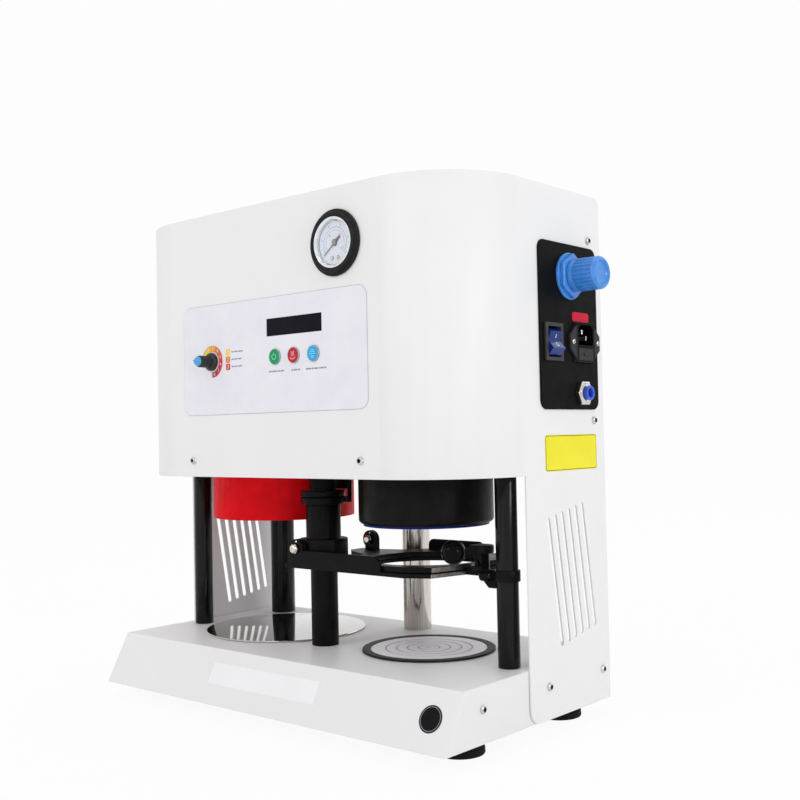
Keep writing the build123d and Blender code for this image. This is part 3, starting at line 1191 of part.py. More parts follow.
def gauge_dial():
    """Dial plate with the pointer's post."""
    dial = round_y(GAUGE_BORE_R - SEAT_FIT, GAUGE_DIAL_Y, GAUGE_DIAL_Y + GAUGE_DIAL_T, GAUGE_X, GAUGE_Z)
    post_y = GAUGE_DIAL_Y - 2 * POINTER_T - GAP
    return dial + round_y(POINTER_POST_R, post_y, GAUGE_DIAL_Y + GAUGE_DIAL_T, GAUGE_X, GAUGE_Z)


def gauge_pointer():
    """Needle with a short tail, turning on the dial's post."""
    front_y, back_y = GAUGE_DIAL_Y - GAP - POINTER_T, GAUGE_DIAL_Y - GAP
    outline = [
        (-POINTER_TAIL, front_y, -POINTER_W),
        (-POINTER_TAIL, front_y, POINTER_W),
        (POINTER_L, front_y, POINTER_W / 4),
        (POINTER_L, front_y, -POINTER_W / 4),
    ]
    needle = prism(outline, (0, POINTER_T, 0))
    needle = Rot(0, -POINTER_ANGLE, 0) * needle
    pointer = Pos(GAUGE_X, 0, GAUGE_Z) * needle
    pointer += round_y(POINTER_HUB_R, front_y, back_y, GAUGE_X, GAUGE_Z)
    return pointer - round_y(POINTER_POST_R + RUN_FIT, front_y - CUT, back_y + CUT, GAUGE_X, GAUGE_Z)


def gauge_glass():
    """Window of the gauge."""
    front_y = GAUGE_FRONT_Y + GAUGE_GLASS_T
    return round_y(GAUGE_BORE_R - SEAT_FIT, front_y, front_y + GAUGE_GLASS_T, GAUGE_X, GAUGE_Z)


# ================================================================ right side controls
def side_panel():
    """Black plate behind the side controls."""
    panel = rounded_plate_x(PANEL_YS, PANEL_ZS, PANEL_CORNER_R, SIDE_X, PANEL_X)
    return panel - panel_openings(SIDE_X - CUT)


def pressure_regulator():
    """Regulator body behind the wall, with its threaded neck."""
    body_xs = (SIDE_INNER_X - GAP - REGULATOR_BODY, SIDE_INNER_X - GAP)
    body = block(body_xs, about(REGULATOR_Y, REGULATOR_BODY), about(REGULATOR_Z, REGULATOR_BODY))
    neck_end = SIDE_X + KNOB_BACK + KNOB_BORE_DEPTH - GAP
    return body + round_x(REGULATOR_NECK_R, body_xs[0], neck_end, REGULATOR_Y, REGULATOR_Z)


def regulator_nut():
    """Flanged panel nut."""
    flange_x = PANEL_X + REGULATOR_NUT_FLANGE_T
    nut = round_x(REGULATOR_NUT_R, PANEL_X, flange_x, REGULATOR_Y, REGULATOR_Z)
    nut += hexagon_x(REGULATOR_HEX_AF, PANEL_X, flange_x + REGULATOR_HEX_T, REGULATOR_Y, REGULATOR_Z)
    end_x = flange_x + REGULATOR_HEX_T + CUT
    return nut - round_x(REGULATOR_NECK_R + SEAT_FIT, PANEL_X - CUT, end_x, REGULATOR_Y, REGULATOR_Z)


def regulator_knob():
    """Hollow fluted knob that turns on the regulator's neck."""
    back_x, front_x = SIDE_X + KNOB_BACK, SIDE_X + KNOB_REACH
    knob = round_x(KNOB_R, back_x, front_x, REGULATOR_Y, REGULATOR_Z)
    knob = fillet(knob.edges().sort_by(Axis.X)[-1], KNOB_EDGE_R)
    bore_end = back_x + KNOB_BORE_DEPTH
    return knob - round_x(REGULATOR_NECK_R + RUN_FIT, back_x - CUT, bore_end, REGULATOR_Y, REGULATOR_Z)


ROCKER_PIVOT_X = PANEL_X - ROCKER_FRAME_T


def rocker_frame():
    """Bezel and body of the mains switch, hollow for the rocker."""
    front_x = PANEL_X + ROCKER_FRAME_T
    frame = block((PANEL_X, front_x), about(ROCKER_Y, ROCKER_FRAME_W), about(ROCKER_Z, ROCKER_FRAME_H))
    body_ys, body_zs = about(ROCKER_Y, ROCKER_BODY_W), about(ROCKER_Z, ROCKER_BODY_H)
    frame += block((front_x - ROCKER_BODY_DEPTH, front_x), body_ys, body_zs)
    inner_w, inner_h = ROCKER_BODY_W - 2 * ROCKER_WALL, ROCKER_BODY_H - 2 * ROCKER_WALL + GAP
    inner_back = ROCKER_PIVOT_X - ROCKER_BACK - ROCKER_WALL * 2
    frame -= block((inner_back, front_x + CUT), about(ROCKER_Y, inner_w), about(ROCKER_Z, inner_h))
    return frame + round_y(ROCKER_PIVOT_R, *about(ROCKER_Y, inner_w + ROCKER_WALL), ROCKER_PIVOT_X, ROCKER_Z)


def rocker_button():
    """Rocker with two raised ends, tilted so that its lower end stands out."""
    width = ROCKER_BODY_W - 2 * ROCKER_WALL - 2 * GAP
    y_low = -width / 2
    outline = [
        (-ROCKER_BACK, y_low, -ROCKER_HALF_H + ROCKER_WALL),
        (ROCKER_FOOT, y_low, -ROCKER_HALF_H),
        (ROCKER_TIP, y_low, -ROCKER_TIP_H),
        (ROCKER_WAIST, y_low, 0),
        (ROCKER_TIP, y_low, ROCKER_TIP_H),
        (ROCKER_FOOT, y_low, ROCKER_HALF_H),
        (-ROCKER_BACK, y_low, ROCKER_HALF_H - ROCKER_WALL),
    ]
    rocker = prism(outline, (0, width, 0)) - round_y(ROCKER_PIVOT_R + RUN_FIT, y_low - CUT, width, 0, 0)
    return Pos(ROCKER_PIVOT_X, ROCKER_Y, ROCKER_Z) * Rot(0, ROCKER_TILT, 0) * rocker


def mains_inlet():
    """Appliance inlet: eared flange, body, socket with three pins and fuse drawer slot."""
    half_w = INLET_FLANGE_W / 2
    half_h = INLET_FLANGE_H / 2
    body_half = INLET_BODY_W / 2
    ear = INLET_EAR_H / 2
    corners = [(-half_w, ear), (-body_half, half_h), (body_half, half_h), (half_w, ear)]
    corners += [(-y, -z) for y, z in corners]
    inlet = prism([(PANEL_X, INLET_Y + y, INLET_Z + z) for y, z in corners], (INLET_FLANGE_T, 0, 0))
    front_x = PANEL_X + INLET_BODY_PROUD
    back_x = PANEL_X - INLET_DEPTH
    body_ys, body_zs = about(INLET_Y, INLET_BODY_W), about(INLET_Z, INLET_BODY_H)
    inlet += block((back_x, front_x), body_ys, body_zs)
    for side in (-1, 1):
        y = INLET_Y + side * INLET_SCREW_SPACING / 2
        inlet += round_x(INLET_SCREW_R, PANEL_X, PANEL_X + INLET_FLANGE_T + INLET_SCREW_R / 2, y, INLET_Z)
    socket_z = INLET_Z + SOCKET_RAISE
    low, high = socket_z - SOCKET_H / 2, socket_z + SOCKET_H / 2
    left, right = about(INLET_Y, SOCKET_W)
    floor_x = front_x - SOCKET_DEPTH
    outline = [
        (left, low),
        (right, low),
        (right, high - SOCKET_CORNER),
        (right - SOCKET_CORNER, high),
        (left + SOCKET_CORNER, high),
        (left, high - SOCKET_CORNER),
    ]
    inlet -= prism([(floor_x, y, z) for y, z in outline], (SOCKET_DEPTH + CUT, 0, 0))
    for y, z in SOCKET_PINS:
        pin_ys, pin_zs = about(INLET_Y + y, SOCKET_PIN_SIZE[0]), about(socket_z + z, SOCKET_PIN_SIZE[1])
        inlet += block((floor_x - CUT, front_x - SOCKET_DEPTH / 4), pin_ys, pin_zs)
    fuse_ys = about(INLET_Y, FUSE_W + 2 * GAP)
    fuse_zs = about(INLET_Z - FUSE_DROP, FUSE_H + 2 * GAP)
    return inlet - block((front_x - FUSE_DEPTH - GAP, front_x + CUT), fuse_ys, fuse_zs)


def fuse_drawer():
    """Fuse drawer under the socket."""
    front_x = PANEL_X + INLET_BODY_PROUD
    drawer = block((front_x - FUSE_DEPTH, front_x), about(INLET_Y, FUSE_W), about(INLET_Z - FUSE_DROP, FUSE_H))
    pull = block((front_x - CUT, front_x + CUT), about(INLET_Y, FUSE_W / 3), about(INLET_Z - FUSE_DROP, FUSE_H / 4))
    return drawer + pull


def air_fitting():
    """Nickel push-in fitting with a hexagonal head."""
    face_x = PANEL_X + FITTING_HEX_T
    back_x = PANEL_X - FITTING_DEPTH
    fitting = hexagon_x(FITTING_AF, PANEL_X, face_x, FITTING_Y, FITTING_Z, FITTING_TURN)
    fitting += round_x(FITTING_NECK_R, back_x, face_x, FITTING_Y, FITTING_Z)
    collar_end = face_x + COLLAR_TRAVEL + GAP + COLLAR_FLANGE_T - COLLAR_LENGTH
    fitting -= round_x(COLLAR_R + RUN_FIT, collar_end - COLLAR_TRAVEL - GAP, face_x + CUT, FITTING_Y, FITTING_Z)
    return fitting - round_x(COLLAR_BORE_R - CUT, back_x - CUT, face_x + CUT, FITTING_Y, FITTING_Z)


def fitting_collar():
    """Blue release collar of the push-in fitting."""
    flange_x = PANEL_X + FITTING_HEX_T + COLLAR_TRAVEL + GAP
    front_x = flange_x + COLLAR_FLANGE_T
    collar = round_x(COLLAR_FLANGE_R, flange_x, front_x, FITTING_Y, FITTING_Z)
    collar = fillet(collar.edges().sort_by(Axis.X)[-1], COLLAR_FLANGE_T / 3)
    collar += round_x(COLLAR_R, front_x - COLLAR_LENGTH, front_x - CUT, FITTING_Y, FITTING_Z)
    return collar - round_x(COLLAR_BORE_R, front_x - COLLAR_LENGTH - CUT, front_x + CUT, FITTING_Y, FITTING_Z)


def valve_block():
    """Valve manifold on the rear panel, with two solenoid coils."""
    ys = (REAR_INNER_Y - VALVE_DEPTH, REAR_INNER_Y)
    valves = block(VALVE_XS, ys, VALVE_ZS)
    quarter = (VALVE_XS[1] - VALVE_XS[0]) / 4
    for x in (VALVE_XS[0] + quarter, VALVE_XS[1] - quarter):
        valves += disc(VALVE_COIL_R, VALVE_ZS[1] - CUT, VALVE_ZS[1] + VALVE_COIL_H, x, sum(ys) / 2)
    return valves


PIECES = [
    base_cover,
    base_plate,
    rubber_feet,
    outer_shell,
    top_cover,
    rear_panel,
    housing_floor,
    housing_screws,
    front_posts,
    rear_post,
    steel_riser_tube,
    pivot_column,
    reflector_disc,
    forming_plate,
    forming_gasket,
    vacuum_manifold,
    heater_housing,
    heater_insulation,
    heater_element,
    pressure_chamber,
    chamber_seal,
    cylinder_bridge,
    air_cylinder,
    piston_rod,
    carrier_bushing,
    carrier_sleeve,
    trigger_cam,
    lower_frame,
    clamp_ring,
    hinge_bolts,
    clamp_stud,
    clamp_lever,
    ball_knob,
    stop_collar,
    ball_catch,
    position_switch,
    control_label,
    display_module,
    green_button,
    red_button,
    blue_button,
    control_board,
    timer_knob,
    timer_potentiometer,
    gauge_ring,
    gauge_case,
    gauge_dial,
    gauge_pointer,
    gauge_glass,
    side_panel,
    pressure_regulator,
    regulator_nut,
    regulator_knob,
    rocker_frame,
    rocker_button,
    mains_inlet,
    fuse_drawer,
    air_fitting,
    fitting_collar,
    valve_block,
]


def main():
    """Write one STEP file for each sub-part."""
    os.makedirs("parts", exist_ok=True)
    for piece in PIECES:
        export_step(Pos(ORIGIN_X, 0, 0) * piece(), f"parts/{piece.__name__}.step")


main()
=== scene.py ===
"""Finished looks of a dental vacuum former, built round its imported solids."""
import math

import bmesh
import bpy
from mathutils import Matrix, Quaternion, Vector


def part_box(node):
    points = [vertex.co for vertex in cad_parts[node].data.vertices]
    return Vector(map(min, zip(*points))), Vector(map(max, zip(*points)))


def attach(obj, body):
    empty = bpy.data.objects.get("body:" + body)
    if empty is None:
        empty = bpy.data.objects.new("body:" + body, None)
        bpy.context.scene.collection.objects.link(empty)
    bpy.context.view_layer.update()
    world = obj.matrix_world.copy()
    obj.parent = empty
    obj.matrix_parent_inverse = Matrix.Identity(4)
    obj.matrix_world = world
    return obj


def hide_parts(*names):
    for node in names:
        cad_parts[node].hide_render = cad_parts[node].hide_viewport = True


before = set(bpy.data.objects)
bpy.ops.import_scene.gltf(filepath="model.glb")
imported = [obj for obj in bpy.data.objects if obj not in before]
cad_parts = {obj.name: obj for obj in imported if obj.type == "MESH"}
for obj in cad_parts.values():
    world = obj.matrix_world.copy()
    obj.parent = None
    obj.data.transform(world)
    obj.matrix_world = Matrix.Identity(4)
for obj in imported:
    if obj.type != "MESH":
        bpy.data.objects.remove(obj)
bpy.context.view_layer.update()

MM = 0.001
X_AXIS, Y_AXIS, Z_AXIS = Vector((1, 0, 0)), Vector((0, 1, 0)), Vector((0, 0, 1))
FRONTWARDS = -Y_AXIS


# ---------------------------------------------------------------- places read from the solids
def low(node):
    """Lowest corner of a solid."""
    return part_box(node)[0]


def high(node):
    """Highest corner of a solid."""
    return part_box(node)[1]


def middle(node):
    """Middle of a solid's box."""
    return (low(node) + high(node)) / 2


# ---------------------------------------------------------------- shader helpers
def linear(code):
    """An sRGB hex value as the linear colour that a shader takes."""
    shares = [int(code[start:start + 2], 16) / 255 for start in (0, 2, 4)]
    curved = [c / 12.92 if c <= 0.04045 else ((c + 0.055) / 1.055) ** 2.4 for c in shares]
    return (*curved, 1.0)


def add_node(tree, kind, sockets=None, **settings):
    """Adds a shader node with its settings; a socket is given a value or another node's output."""
    node = tree.nodes.new(kind)
    for name, setting in settings.items():
        setattr(node, name, setting)
    for socket, value in (sockets or {}).items():
        if isinstance(value, bpy.types.NodeSocket):
            tree.links.new(value, node.inputs[socket])
        else:
            node.inputs[socket].default_value = value
    return node


def new_material(name, **constants):
    """A material, its node tree, its shader with constant values set, and Object coordinates."""
    material = bpy.data.materials.new(name)
    material.use_nodes = True
    tree = material.node_tree
    shader = tree.nodes["Principled BSDF"]
    for socket, value in constants.items():
        shader.inputs[socket.replace("_", " ")].default_value = value
    return material, tree, shader, add_node(tree, "ShaderNodeTexCoord").outputs["Object"]


def grain(tree, place, size_mm, detail=2.0, stretch=(1, 1, 1)):
    """Noise whose grains are about size_mm wide, made longer along an axis by stretch."""
    scale = [1 / (MM * size_mm * factor) for factor in stretch]
    moved = add_node(tree, "ShaderNodeMapping", {"Vector": place, "Scale": scale}).outputs[0]
    sockets = {"Vector": moved, "Scale": 1.0, "Detail": detail}
    return add_node(tree, "ShaderNodeTexNoise", sockets).outputs["Fac"]


def in_range(tree, factor, bottom, top):
    """A factor of 0.3 to 0.7, as noise mostly is, turned into a range of values."""
    sockets = {"Value": factor, "From Min": 0.3, "From Max": 0.7, "To Min": bottom, "To Max": top}
    return add_node(tree, "ShaderNodeMapRange", sockets).outputs[0]


def two_tone(tree, shader, factor, first, second):
    """Colours the shader between two hex values."""
    share = in_range(tree, factor, 0, 1)
    mix = add_node(tree, "ShaderNodeMix", {"Factor": share}, data_type="RGBA")
    mix.inputs["A"].default_value = linear(first)
    mix.inputs["B"].default_value = linear(second)
    tree.links.new(mix.outputs["Result"], shader.inputs["Base Color"])


def relief(tree, shader, height, depth_mm, strength=1.0):
    """Raises the surface by a height pattern."""
    sockets = {"Height": height, "Distance": depth_mm * MM, "Strength": strength}
    bump = add_node(tree, "ShaderNodeBump", sockets)
    tree.links.new(bump.outputs[0], shader.inputs["Normal"])


def roughen(tree, shader, factor, start, spread):
    """Lets the roughness vary with a pattern, from its start over a spread."""
    rough = in_range(tree, factor, start, start + spread)
    tree.links.new(rough, shader.inputs["Roughness"])


def add_up(tree, first, second, share):
    """The first pattern plus a share of the second."""
    sockets = {0: second, 1: share, 2: first}
    return add_node(tree, "ShaderNodeMath", sockets, operation="MULTIPLY_ADD").outputs[0]


# ---------------------------------------------------------------- finishes
def powder_coat(name, hex_high, hex_low, peel_mm=1.5, roughness=0.42):
    """Polyester powder baked on steel sheet: fine orange peel with a soft, even sheen."""
    material, tree, shader, place = new_material(name, IOR=1.5)
    two_tone(tree, shader, grain(tree, place, 60), hex_high, hex_low)
    peel = add_up(tree, grain(tree, place, peel_mm), grain(tree, place, peel_mm / 3), 0.35)
    relief(tree, shader, peel, 0.04, 0.45)
    roughen(tree, shader, grain(tree, place, 18), roughness, 0.03)
    return material


def satin_paint(name, hex_high, hex_low, roughness=0.3, peel_mm=0.9, coat=0.0, gloss=0.08):
    """Stoved paint on machined steel: near black, with a broad highlight and a faint grain."""
    material, tree, shader, place = new_material(
        name, IOR=1.5, Specular_IOR_Level=gloss, Coat_Weight=coat, Coat_Roughness=0.08
    )
    two_tone(tree, shader, grain(tree, place, 12), hex_high, hex_low)
    relief(tree, shader, grain(tree, place, peel_mm), 0.02, 0.4)
    roughen(tree, shader, grain(tree, place, 9, 4.0), roughness, 0.12)
    return material


def brushed_metal(name, code, dark_code, stretch, line_mm=0.35, roughness=0.24, depth_mm=0.006):
    """Ground or drawn steel: long fine lines along one direction that spread the highlight."""
    material, tree, shader, place = new_material(name, Metallic=1.0)
    lines = grain(tree, place, line_mm, 3.0, stretch)
    two_tone(tree, shader, lines, code, dark_code)
    relief(tree, shader, lines, depth_mm, 0.5)
    roughen(tree, shader, grain(tree, place, 14), roughness, 0.1)
    return material


def turned_metal(name, code, dark_code, centre, pitch_mm=0.5, roughness=0.3, metallic=1.0):
    """Metal faced on a lathe: fine rings round an upright centre line."""
    material, tree, shader, place = new_material(name, Metallic=metallic)
    sockets = {"Vector": place, "Location": [-centre.x, -centre.y, 0], "Scale": [1, 1, 0]}
    centred = add_node(tree, "ShaderNodeMapping", sockets).outputs[0]
    radius = add_node(tree, "ShaderNodeVectorMath", {0: centred}, operation="LENGTH")
    steps = {"W": radius.outputs["Value"], "Scale": 1 / (pitch_mm * MM), "Detail": 2.0}
    rings = add_node(tree, "ShaderNodeTexNoise", steps, noise_dimensions="1D").outputs["Fac"]
    two_tone(tree, shader, rings, code, dark_code)
    relief(tree, shader, rings, 0.01, 0.5)
    roughen(tree, shader, grain(tree, place, 10), roughness, 0.1)
    return material


def bright_metal(name, code, dark_code, roughness=0.1):
    """Plated or polished metal: mirror-like with faint clouding from handling."""
    material, tree, shader, place = new_material(name, Metallic=1.0)
    clouds = grain(tree, place, 6, 4.0)
    two_tone(tree, shader, clouds, code, dark_code)
    roughen(tree, shader, clouds, roughness, 0.07)
    relief(tree, shader, grain(tree, place, 0.6), 0.002, 0.3)
    return material


def moulded_plastic(
    name, hex_high, hex_low, roughness=0.35, texture_mm=0.4, depth_mm=0.01, gloss=0.25
):
    """Injection-moulded plastic: even colour, spark-eroded grain, highlight softened by it."""
    material, tree, shader, place = new_material(name, IOR=1.49, Specular_IOR_Level=gloss)
    two_tone(tree, shader, grain(tree, place, 7), hex_high, hex_low)
    relief(tree, shader, grain(tree, place, texture_mm), depth_mm, 0.5)
    roughen(tree, shader, grain(tree, place, 5, 3.0), roughness, 0.08)
    return material


def soft_rubber(name, hex_high, hex_low, roughness=0.6):
    """Vulcanised or silicone rubber: dull, slightly mottled, with a fine skin."""
    material, tree, shader, place = new_material(name, IOR=1.5, Specular_IOR_Level=0.1)
    two_tone(tree, shader, grain(tree, place, 5, 4.0), hex_high, hex_low)
    relief(tree, shader, grain(tree, place, 0.5, 3.0), 0.03, 0.5)
    roughen(tree, shader, grain(tree, place, 3), roughness, 0.12)
    return material


def printed_film(name, code, shade, roughness=0.3, gloss=0.2):
    """Polyester film printed on its back: flat colour under a smooth, slightly silky face."""
    material, tree, shader, place = new_material(name, IOR=1.5, Specular_IOR_Level=gloss)
    two_tone(tree, shader, grain(tree, place, 30), code, shade)
    relief(tree, shader, grain(tree, place, 2.5), 0.01, 0.2)
    roughen(tree, shader, grain(tree, place, 8), roughness, 0.06)
    return material


def printing_ink(name, code, shade):
    """Screen-printed ink: thin and matt, with a trace of the mesh in it."""
    material, tree, shader, place = new_material(name, IOR=1.5, Roughness=0.45)
    two_tone(tree, shader, grain(tree, place, 0.5), code, shade)
    return material


def clear_window(name, tint):
    """Clear glass, thin enough to see the dial without a shift."""
    material, tree, shader, place = new_material(name, IOR=1.5, Alpha=0.08, Base_Color=linear(tint))
    roughen(tree, shader, grain(tree, place, 9), 0.0, 0.02)
    return material


# ---------------------------------------------------------------- places and finishes of the parts
ORIGIN = Vector((0, 0, 0))
LABEL_FACE = low("control_label").y
HOOD_FACE = low("outer_shell").y
SIDE_FACE = low("side_panel").x
GAUGE_CENTRE = Vector((middle("gauge_ring").x, HOOD_FACE, middle("gauge_ring").z))
FORM_CENTRE = middle("forming_plate")

WHITE_COAT = powder_coat("textured_white_powder_coat", "F1F1F2", "EFEFF0")
# A touch darker copy of the white coat: painted shade on the base and its slope
BASE_COAT_PAINTED_SHADE = powder_coat("white_base_powder_coat_painted_shade", "EEEEEF", "ECECED")
# A darker copy of the white coat: painted shade for the floor inside the housing
INSIDE_COAT_PAINTED_SHADE = powder_coat("inner_white_powder_coat_painted_shade", "E7E7E8", "E4E4E6")
BLACK_PAINT = satin_paint("satin_black_paint", "141313", "0C0B0B")
BLACK_GLOSS_PAINT = satin_paint("gloss_black_post_paint", "121111", "0A0909", 0.13, gloss=0.2)
PANEL_BLACK = satin_paint("fine_black_panel_coat", "131213", "0E0D0E", 0.45, gloss=0.05)
CHAMBER_BLACK = satin_paint("black_anodised_aluminium", "161616", "0E0E0E", 0.3, 0.6)
RED_ENAMEL = satin_paint("red_stove_enamel", "E8101C", "D80C17", 0.4, 1.4, gloss=0.05)
RISER_STEEL = brushed_metal(
    "drawn_stainless_tube", "E9E4DE", "B9B2AA", (1, 1, 120), roughness=0.14, depth_mm=0.003
)
ZINC_STEEL = brushed_metal("zinc_plated_steel", "C4C6C8", "9EA1A4", (6, 1, 1), 0.8, 0.3)
DULL_ALUMINIUM = brushed_metal("machined_aluminium", "D0D1D3", "B4B6B9", (8, 1, 1), 0.5, 0.3)
BARE_EDGE = brushed_metal("milled_bare_steel", "E2DDD8", "8C8783", (1, 1, 12), 0.5, 0.25, 0.02)
MIRROR_STEEL = bright_metal("mirror_polished_stainless", "C0BEBD", "B9B7B6", 0.02)
NICKEL = bright_metal("bright_nickel_plate", "E3DFD8", "C9C3BA", 0.12)
CHROME = bright_metal("chrome_plate", "F0F1F3", "DADCE0", 0.06)
SCALED_ALLOY = bright_metal("oxidised_heater_alloy", "5E5148", "3E352F", 0.45)
PLATE_METAL = turned_metal(
    "faced_satin_aluminium", "FFFDFF", "F1EEF3", FORM_CENTRE, 0.6, 0.45, 0.05
)
# A darker copy of the plate's finish: painted shade in the plate's suction grooves
GROOVE_PAINTED_SHADE_METAL = turned_metal(
    "painted_shade_groove_aluminium", "CDCBCF", "C2C0C4", FORM_CENTRE, 0.6, 0.5, 0.05
)
BLACK_RUBBER = soft_rubber("black_moulded_rubber", "2A2929", "1F1E1E", 0.45)
FOOT_RUBBER = soft_rubber("black_foot_rubber", "1C1B1B", "121111", 0.65)
BLUE_SEAL = soft_rubber("blue_silicone_seal", "15267E", "101E68", 0.4)
LINING = soft_rubber("ceramic_fibre_board", "D9D3C4", "C7C0AF", 0.85)
BLACK_PLASTIC = moulded_plastic("black_moulded_plastic", "1A191A", "141314", 0.34, gloss=0.1)
GREY_PLASTIC = moulded_plastic("dark_grey_switch_plastic", "424244", "3C3C3E", 0.4, gloss=0.12)
INLET_PLASTIC = moulded_plastic("charcoal_inlet_plastic", "3A383B", "343235", 0.42, gloss=0.1)
GLOSS_BLACK = moulded_plastic("polished_black_plastic", "080707", "050505", 0.14, 2.0, 0.004, 0.08)
REGULATOR_BLUE = moulded_plastic("blue_moulded_plastic", "4795E8", "3A86DA", 0.2, gloss=0.6)
CAP_BLUE = moulded_plastic("pale_blue_cap_plastic", "60AEEC", "54A2E0", 0.28)
ROCKER_BLUE = moulded_plastic("deep_blue_lens_plastic", "0D3184", "0A2972", 0.12, 1.5, 0.004, 0.2)
FITTING_BLUE = moulded_plastic("bright_blue_acetal", "3C66E4", "3259D0", 0.3, gloss=0.4)
GREEN_KEY = moulded_plastic("green_key_plastic", "0EA066", "0C9159", 0.24)
RED_KEY = moulded_plastic("red_key_plastic", "C42434", "B01E2D", 0.24)
BLUE_KEY = moulded_plastic("blue_key_plastic", "3FB2E8", "36A3DA", 0.24)
LABEL_FILM = printed_film("white_panel_film", "F0EFF6", "EAE9F1")
# Grey for the line round the front label: painted shade along the label's edge
LABEL_EDGE_PAINTED_SHADE = printed_film("painted_shade_label_edge", "C6C6CC", "BEBEC4", 0.35)
DIAL_FILM = printed_film("pale_gauge_dial", "EAEFF8", "E3E9F4", 0.4, 0.1)
DISPLAY_DARK = printed_film("dark_display_window", "2E2A4E", "272344", 0.1, 0.05)
DISPLAY_BEZEL = printed_film("black_display_frame", "1A1922", "14131A", 0.25, 0.05)
GREEN_BOARD = printed_film("green_solder_mask", "1B5E35", "164E2C", 0.3)
YELLOW_FILM = printed_film("yellow_film", "F7EE2E", "EFE524", 0.3)
RED_FILM = printed_film("red_film", "D81F3C", "CA1A35", 0.3, 0.08)
PLATE_FILM = printed_film("white_slope_film", "F8F8FA", "F5F5F7", 0.35)
BLACK_FILM = printed_film("black_film", "121112", "0C0B0C", 0.22, 0.08)
DIAL_BLUE = printing_ink("blue_scale_ink", "7FA6CC", "7399C0")
DIAL_RED = printing_ink("red_scale_ink", "D98A9C", "CF7C90")
BLACK_INK = printing_ink("black_print_ink", "1E1D22", "26252B")
GREY_INK = printing_ink("grey_print_ink", "8C8B93", "96959D")
WHITE_INK = printing_ink("white_print_ink", "F4F4F4", "ECECEC")
RING_CODES = ("F4D838", "F6C72A", "F2A428", "EC7B2B", "E4532A", "D93A2C", "C92B2C", "B01F2B")
RING_INKS = [
    printing_ink(f"timer_ring_ink_{number}", code, code) for number, code in enumerate(RING_CODES)
]
LEGEND_INKS = (RING_INKS[0], RING_INKS[3], RING_INKS[5])
WINDOW_GLASS = clear_window("gauge_window_glass", "FAFCFF")
SCREW_STEEL = bright_metal("passivated_screw_steel", "D9D6D0", "C2BEB7", 0.16)
# Darkened steel for the hexagon sockets: painted shade inside the sockets
SOCKET_PAINTED_SHADE = bright_metal("painted_shade_socket_steel", "4A4744", "383634", 0.45)
PIN_METAL = bright_metal("tinned_contact_pin", "F2F2F2", "E4E4E4", 0.2)
RIM_GREY = bright_metal("satin_key_rim", "B9BDBE", "9EA3A5", 0.3)
HUB_GREY = moulded_plastic("grey_hub_plastic", "8A8784", "7A7774", 0.3)
KNOB_BLACK = moulded_plastic("black_knob_plastic", "2A2A2B", "222223", 0.26, gloss=0.35)
# Deep black plastic for the fitting's collet, and painted shade inside the inlet's socket mouth
BLACK_AND_SOCKET_SHADE = moulded_plastic("deep_black_plastic_and_socket_shade", "0B0B0C", "070708", 0.5, gloss=0.05)
# Grey strip at the window's left edge: painted highlight on the window's bevel
DISPLAY_PAINTED_GLINT = printed_film("display_painted_glint", "5C645E", "4C524E", 0.2, 0.05)
GREEN_ICON = printing_ink("pale_green_ink", "8FE3BE", "84DAB4")
RED_ICON = printing_ink("pale_red_ink", "F5A9A9", "EFA0A2")
BLUE_ICON = printing_ink("pale_blue_ink", "9FE0FA", "95D8F4")


# ---------------------------------------------------------------- modelling helpers
CAPITAL_SHARE = 0.7  # a capital letter's height over the size of its type


def clear_selection():
    """Leaves object mode with nothing selected."""
    if bpy.context.object and bpy.context.object.mode != "OBJECT":
        bpy.ops.object.mode_set(mode="OBJECT")
    bpy.ops.object.select_all(action="DESELECT")


def activate(piece):
    """Makes one piece the only selected and active one."""
    clear_selection()
    piece.select_set(True)
    bpy.context.view_layer.objects.active = piece


def started(name):
    """Names a new primitive and puts its place into its mesh."""
    piece = bpy.context.object
    piece.name = name
    bpy.ops.object.transform_apply(location=True, rotation=True, scale=True)
    return piece


def pick(piece, test, kind="faces"):
    """In edit mode, selects just the faces, edges or vertices that pass a test."""
    bpy.ops.mesh.select_all(action="DESELECT")
    mesh = bmesh.from_edit_mesh(piece.data)
    for element in getattr(mesh, kind):
        element.select = bool(test(element))
    mesh.select_flush_mode()
    bmesh.update_edit_mesh(piece.data)


def finish_mesh(piece, bevel_mm=0.0, segments=2, smooth_degrees=32):
    """Softens sharp edges, shades the piece and applies what was added."""
    activate(piece)
    if bevel_mm:
        bevel = piece.modifiers.new("soft_edges", "BEVEL")
        bevel.width = bevel_mm * MM
        bevel.segments = segments
        bevel.limit_method = "ANGLE"
        bevel.angle_limit = math.radians(smooth_degrees)
        bevel.use_clamp_overlap = False
        bevel.harden_normals = True
        bevel.loop_slide = False
        bpy.ops.object.modifier_apply(modifier=bevel.name)
    else:
        bpy.ops.object.shade_smooth_by_angle(angle=math.radians(smooth_degrees))
    return piece


def coated(piece, material):
    """Adds a finish to a piece."""
    piece.data.materials.append(material)
    return piece


def seated(piece, body, material, slot, *nodes):
    """Gives a piece its finish and its body, and hides the solids it stands for; the slot is not
    used.
    """
    if material:
        piece.data.materials.clear()
        piece.data.materials.append(material)
    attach(piece, body)
    if nodes:
        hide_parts(*nodes)
    return piece


def facing(axis, turn=0.0):
    """The rotation that points a flat primitive along an axis, turned round it first."""
    return Z_AXIS.rotation_difference(axis) @ Quaternion(Z_AXIS, turn)


def axes(right, up, out):
    """The rotation matrix whose own x, y and z run along three directions."""
    return Matrix((right, up, out)).transposed()


def clockwise(degrees):
    """A direction on the front, by its angle clockwise from the top."""
    angle = math.radians(degrees)
    return Vector((math.sin(angle), 0, math.cos(angle)))


